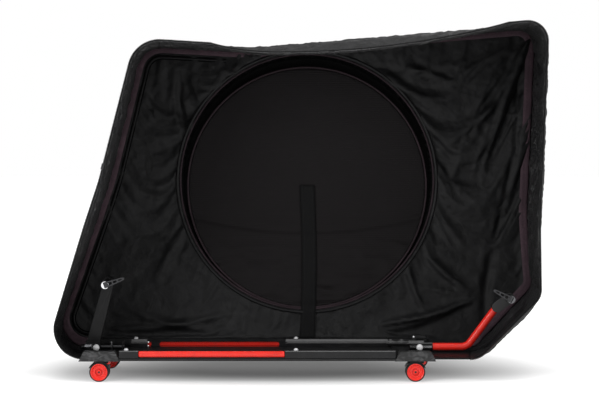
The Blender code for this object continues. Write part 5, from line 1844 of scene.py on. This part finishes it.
def ring_points(x, y, radius_x, radius_y, turns, start=0.0, sweep=2 * math.pi):
    """Points of an oval or of a part of one."""
    angles = [start + sweep * i / turns for i in range(turns)]
    return [(x + radius_x * math.cos(angle), y + radius_y * math.sin(angle)) for angle in angles]


def slot_points(start, end, half, other):
    """A round-ended opening along a lever."""
    left = ring_points(start, 0, half, half, 8, math.pi / 2, math.pi)
    right = ring_points(end, 0, other, other, 8, -math.pi / 2, math.pi)
    return [*left, (start, -half), *right, (end, other)]


# A cam lever's upper edge (x, y), its openings (start, end, half height at each) and its barrel
LEVER_EDGE = (
    (0.0, 0.0078), (0.012, 0.0074), (0.030, 0.0058), (0.046, 0.0044), (0.053, 0.0036), (0.056, 0.0020),
)
LEVER_OPENINGS = (
    (0.0125, 0.0175, 0.0044, 0.0040), (0.0265, 0.0325, 0.0034, 0.0030), (0.0405, 0.0480, 0.0024, 0.0018),
)
BARREL = (
    (0.0, 0.0080), (0.0025, 0.0080), (0.0030, 0.0075), (0.0030, -0.0075), (0.0025, -0.0080), (0.0, -0.0080),
)


def cam_lever(node, pivot, angle, body):
    """A skeleton quick-release lever: a flat frame with openings, on a barrel across it."""
    curve = bpy.data.curves.new("paddle", "CURVE")
    curve.dimensions = "2D"
    curve.fill_mode = "BOTH"
    curve.extrude = 0.0013
    curve.bevel_depth = 0.0005
    curve.bevel_resolution = 2
    outer = [*LEVER_EDGE, *[(x, -y) for x, y in reversed(LEVER_EDGE)]]
    for loop in (outer, *[slot_points(*opening) for opening in LEVER_OPENINGS]):
        add_spline(curve, [(x, y, 0) for x, y in loop], True)
    barrel = turned(BARREL, 32)
    barrel.transform(Matrix.Rotation(math.pi / 2, 4, "X"))
    mesh = joined([baked(curve), barrel])
    along_x = Vector((math.cos(angle), 0, math.sin(angle)))
    facing = Matrix((along_x, (-along_x.z, 0, along_x.x), (0, -1, 0))).transposed().to_4x4()
    mesh.transform(Matrix.Translation(pivot) @ facing)
    add_piece(f"{node}_finished", shade(mesh), finish("dark_metal"), body, (node,))


def lever_pivot(node, axle):
    """Where a lever turns: on its axle's line, in the middle of its own thickness."""
    middle = sum(own_box(axle), Vector()) / 2
    middle.y = sum(own_box(node), Vector()).y / 2
    return middle


# The fork tube: its rear end, the corner that its bend rounds, how steeply it rises, and how far
TUBE_START = 0.424
TUBE_CORNER_X = 0.579
TUBE_ANGLE = math.radians(53.4)
TUBE_BEND = 0.030
TUBE_RISE = 0.1386
TUBE_RADIUS = 0.0105


def fork_route():
    """Middle line of the bent fork tube."""
    bend_start = TUBE_CORNER_X - TUBE_BEND * math.tan(TUBE_ANGLE / 2)
    route = [(TUBE_START, 0)]
    for i in range(17):
        turn = TUBE_ANGLE * i / 16
        route.append((bend_start + TUBE_BEND * math.sin(turn), TUBE_BEND * (1 - math.cos(turn))))
    route.append((TUBE_CORNER_X + TUBE_RISE * math.cos(TUBE_ANGLE), TUBE_RISE * math.sin(TUBE_ANGLE)))
    return [Vector((x, 0, SUPPORT_HEIGHT + rise)) for x, rise in route]


def dome_knob(node, body):
    """A satin knob with a domed face and a stepped back."""
    low, high = own_box(node)
    radius = (high.x - low.x) / 2
    depth = high.y - low.y
    middle = (low + high) / 2
    dome = []
    for i in range(9):
        turn = math.pi / 2 * i / 8
        dome.append((radius * 0.93 * math.sin(turn), depth * 0.62 + depth * 0.38 * math.cos(turn)))
    profile = dome + [
        (radius, depth * 0.56), (radius, depth * 0.28), (radius * 0.92, depth * 0.23),
        (radius * 0.5, depth * 0.23), (radius * 0.5, 0.0), (0.0, 0.0),
    ]
    mesh = stand(turned(profile, 64), (middle.x, high.y, middle.z), (90, 0, 0))
    add_piece(f"{node}_finished", mesh, finish("satin"), body, (node,))


def make_sleeve_trim():
    """Bright strips along the front of the fork sleeve, a steel one and pale grey plates on the clamp block,
    partly trim and partly painted highlights, and the cap of its lever's pin.
    """
    low, high = own_box("fork_sleeve")
    strip = rounded_box((low.x + 0.001, low.y - 0.0006, SUPPORT_HEIGHT - 0.0029),
                        (high.x - 0.001, low.y + 0.0026, SUPPORT_HEIGHT + 0.0043), 0.0013, 3)
    add_piece("fork_sleeve_strip", strip, finish("steel"))
    plates = [
        rounded_box((0.4160, -0.0134, 0.0866), (0.4582, -0.0108, 0.0944), 0.0004),
        rounded_box((0.4120, -0.0140, 0.0864), (0.4825, -0.0112, 0.0889), 0.0004),
    ]
    add_piece("fork_sleeve_plates", joined(plates), finish("ledge"))
    cap = turned([(0.0, 0.0016), (0.0012, 0.0014), (0.0024, 0.0006), (0.0026, 0.0), (0.0, 0.0)], 24)
    stand(cap, (0.4300, -0.0109, 0.1050), (90, 0, 0))
    add_piece("clamp_pin_cap", cap, finish("satin"))


def make_stand_trim():
    """The collar that clamps the stand on its guide bar, and the bright front edge of the bar's ear."""
    low = own_box("rear_stand")[0]
    half = [(0.0, 0.0100), (0.0062, 0.0100), (0.0074, 0.0090)]
    barrel = turned([*half, *[(radius, -height) for radius, height in reversed(half)]], 40)
    stand(barrel, (low.x + 0.0148, low.y - 0.0050, SUPPORT_HEIGHT + 0.0105), (0, 90, 0))
    add_piece("stand_clamp_barrel", barrel, finish("grey_metal"), "rear_carriage")
    ear = rounded_box((-0.4085, -0.0166, 0.0760), (-0.4055, -0.0152, 0.0924), 0.0004)
    add_piece("guide_ear_edge", ear, finish("steel"))


class TRAVELCASE_OT_fit_fork_support(bpy.types.Operator):
    """Finish the sleeve, the red bent tube, its head, skewer and levers"""

    bl_idname = "travel_case.fit_fork_support"
    bl_label = "Fit fork support"

    def execute(self, context):
        refinish("fork_sleeve", finish("dull_plastic"), edge=0.0005)
        refinish("sleeve_clamp_lever", finish("dull_plastic"), "clamp_lever", 0.0008)
        dome_knob("front_knob", "front_clamp_knob")
        make_sleeve_trim()
        tube = round_tube(fork_route(), TUBE_RADIUS)
        add_piece("fork_tube_painted", tube, finish("red_paint"), "fork_carriage", ("fork_tube",))
        refinish("fork_head", finish("black_plastic"), "fork_carriage", 0.0010)
        refinish("fork_axle", finish("silver"), "fork_carriage", 0.0)
        refinish("fork_skewer", finish("grey_metal"), "fork_carriage", 0.0004)
        cam_lever("fork_cam_lever", lever_pivot("fork_cam_lever", "fork_axle"), math.radians(151.7),
                  "fork_lever")
        return {"FINISHED"}


class TRAVELCASE_OT_fit_rear_support(bpy.types.Operator):
    """Finish the guide bar, the stand, its axle, knob and lever"""

    bl_idname = "travel_case.fit_rear_support"
    bl_label = "Fit rear support"

    def execute(self, context):
        refinish("rear_guide_bar", finish("dark_metal"), edge=0.0006)
        make_stand_trim()
        refinish("rear_stand", finish("dull_plastic"), "rear_carriage", 0.0010)
        refinish("rear_axle", finish("silver"), "rear_carriage", 0.0004)
        cam_lever("rear_cam_lever", lever_pivot("rear_cam_lever", "rear_axle"), math.radians(20.0),
                  "rear_lever")
        dome_knob("rear_knob", "rear_clamp_knob")
        return {"FINISHED"}


# Stage

# Name, place, what it points at, size and power in watts
LIGHTS = (
    ("overhead_softbox", (0.1, -0.3, 2.9), (0.0, 0.0, 0.3), (3.4, 2.4), 66),
    ("front_left_softbox", (-2.6, -2.8, 1.7), (0.0, 0.0, 0.5), (1.2, 1.6), 52),
    ("front_right_softbox", (2.8, -2.4, 1.5), (0.1, 0.0, 0.5), (1.2, 1.8), 28),
    ("back_softbox", (1.4, 3.2, 2.1), (0.0, 0.0, 0.5), (1.8, 1.4), 16),
)


def make_floor_finish():
    """Pale floor with a painted shadow: its colour is darker near the case, and a painted glow whitens it
    away from the case, where no shadow falls.
    """
    floor = Finish("studio_floor", (0.8, 0.8, 0.8), 0.9, specular=0.1)
    tree = floor.tree
    across = math_node(tree, "MULTIPLY_ADD", place_axis(tree, floor.place, "X"), 0.36, 0.018)
    # The shade reaches further behind the case than in front of it
    middle = math_node(tree, "ADD", place_axis(tree, floor.place, "Y"), -0.03)
    behind = math_node(tree, "MULTIPLY", middle, 0.45)
    before = math_node(tree, "MULTIPLY", middle, -1.0)
    deep = math_node(tree, "MAXIMUM", behind, before)
    squares = [math_node(tree, "MULTIPLY", value, value) for value in (across, deep)]
    away = math_node(tree, "SQRT", math_node(tree, "ADD", *squares))
    # Painted shadow: the floor's colour goes from 0.80 away from the case down to 0.22 near it
    floor.set("Base Color", range_node(tree, away, 0.22, 0.80, 0.12, 0.40, smooth=True))
    # Painted light: a glow that camera and glossy rays see whitens the floor away from the case, round the
    # edge of the shadow
    rays = tree.nodes.new("ShaderNodeLightPath")
    seen = math_node(tree, "MAXIMUM", rays.outputs["Is Camera Ray"], rays.outputs["Is Glossy Ray"])
    spread = range_node(tree, away, 0.10, 0.6, 0.08, 0.36, smooth=True)
    floor.set("Emission Color", (1, 1, 1, 1))
    floor.set("Emission Strength", math_node(tree, "MULTIPLY", seen, spread))
    return floor.material


def make_world():
    world = bpy.data.worlds.new("studio")
    world.use_nodes = True
    tree = world.node_tree
    background = tree.nodes["Background"]
    background.inputs["Color"].default_value = (1, 1, 1, 1)
    rays = tree.nodes.new("ShaderNodeLightPath")
    seen = math_node(tree, "MAXIMUM", rays.outputs["Is Camera Ray"], rays.outputs["Is Transmission Ray"])
    tree.links.new(range_node(tree, seen, 0.62, 1.0), background.inputs["Strength"])
    bpy.context.scene.world = world


def soft_light(name, at, towards, size, power):
    data = bpy.data.lights.new(name, "AREA")
    data.shape = "RECTANGLE"
    data.size, data.size_y = size
    data.energy = power
    lamp = bpy.data.objects.new(name, data)
    lamp.location = at
    lamp.rotation_euler = (Vector(towards) - Vector(at)).to_track_quat("-Z", "Y").to_euler()
    bpy.context.scene.collection.objects.link(lamp)


class TRAVELCASE_OT_build_stage(bpy.types.Operator):
    """Add the pale floor, the soft lights and the camera"""

    bl_idname = "travel_case.build_stage"
    bl_label = "Build stage"

    def execute(self, context):
        settings = context.scene.case_stage
        shape = bmesh.new()
        bmesh.ops.create_grid(shape, x_segments=1, y_segments=1, size=30)
        floor = bpy.data.objects.new("studio_floor", mesh_of(shape))
        floor.data.materials.append(make_floor_finish())
        context.scene.collection.objects.link(floor)
        make_world()
        for light in LIGHTS:
            soft_light(*light)
        data = bpy.data.cameras.new("photo_camera")
        data.sensor_width = 36
        data.lens = settings.lens
        camera = bpy.data.objects.new("photo_camera", data)
        camera.location = (BASE.x + settings.eye_along, BASE.y - settings.eye_distance, settings.eye_height)
        camera.rotation_euler = (math.pi / 2 - settings.pitch, 0, -settings.yaw)
        context.scene.collection.objects.link(camera)
        context.scene.camera = camera
        context.scene.view_settings.view_transform = "Standard"
        return {"FINISHED"}


# Panel and registration

OPERATORS = (
    TRAVELCASE_OT_sew_shell,
    TRAVELCASE_OT_sew_pocket,
    TRAVELCASE_OT_sew_trims,
    TRAVELCASE_OT_finish_base,
    TRAVELCASE_OT_finish_casters,
    TRAVELCASE_OT_fit_fork_support,
    TRAVELCASE_OT_fit_rear_support,
    TRAVELCASE_OT_build_stage,
)


class TRAVELCASE_PT_sidebar(bpy.types.Panel):
    """Travel case settings and steps"""

    bl_idname = "TRAVELCASE_PT_sidebar"
    bl_label = "Travel case"
    bl_space_type = "VIEW_3D"
    bl_region_type = "UI"
    bl_category = "Travel case"

    def draw(self, context):
        layout = self.layout
        for group in (context.scene.case_sizes, context.scene.case_colours, context.scene.case_stage):
            column = layout.column(align=True)
            for name in group.bl_rna.properties.keys():
                if name not in ("rna_type", "name"):
                    column.prop(group, name)
        for operator in OPERATORS:
            layout.operator(operator.bl_idname)


CLASSES = (CaseSizes, CaseColours, StageSettings, *OPERATORS, TRAVELCASE_PT_sidebar)


def register():
    for item in CLASSES:
        bpy.utils.register_class(item)
    bpy.types.Scene.case_sizes = bpy.props.PointerProperty(type=CaseSizes)
    bpy.types.Scene.case_colours = bpy.props.PointerProperty(type=CaseColours)
    bpy.types.Scene.case_stage = bpy.props.PointerProperty(type=StageSettings)


def unregister():
    del bpy.types.Scene.case_sizes
    del bpy.types.Scene.case_colours
    del bpy.types.Scene.case_stage
    for item in reversed(CLASSES):
        bpy.utils.unregister_class(item)


def main():
    register()
    for operator in OPERATORS:
        group, step = operator.bl_idname.split(".")
        getattr(getattr(bpy.ops, group), step)()


if __name__ == "__main__":
    main()
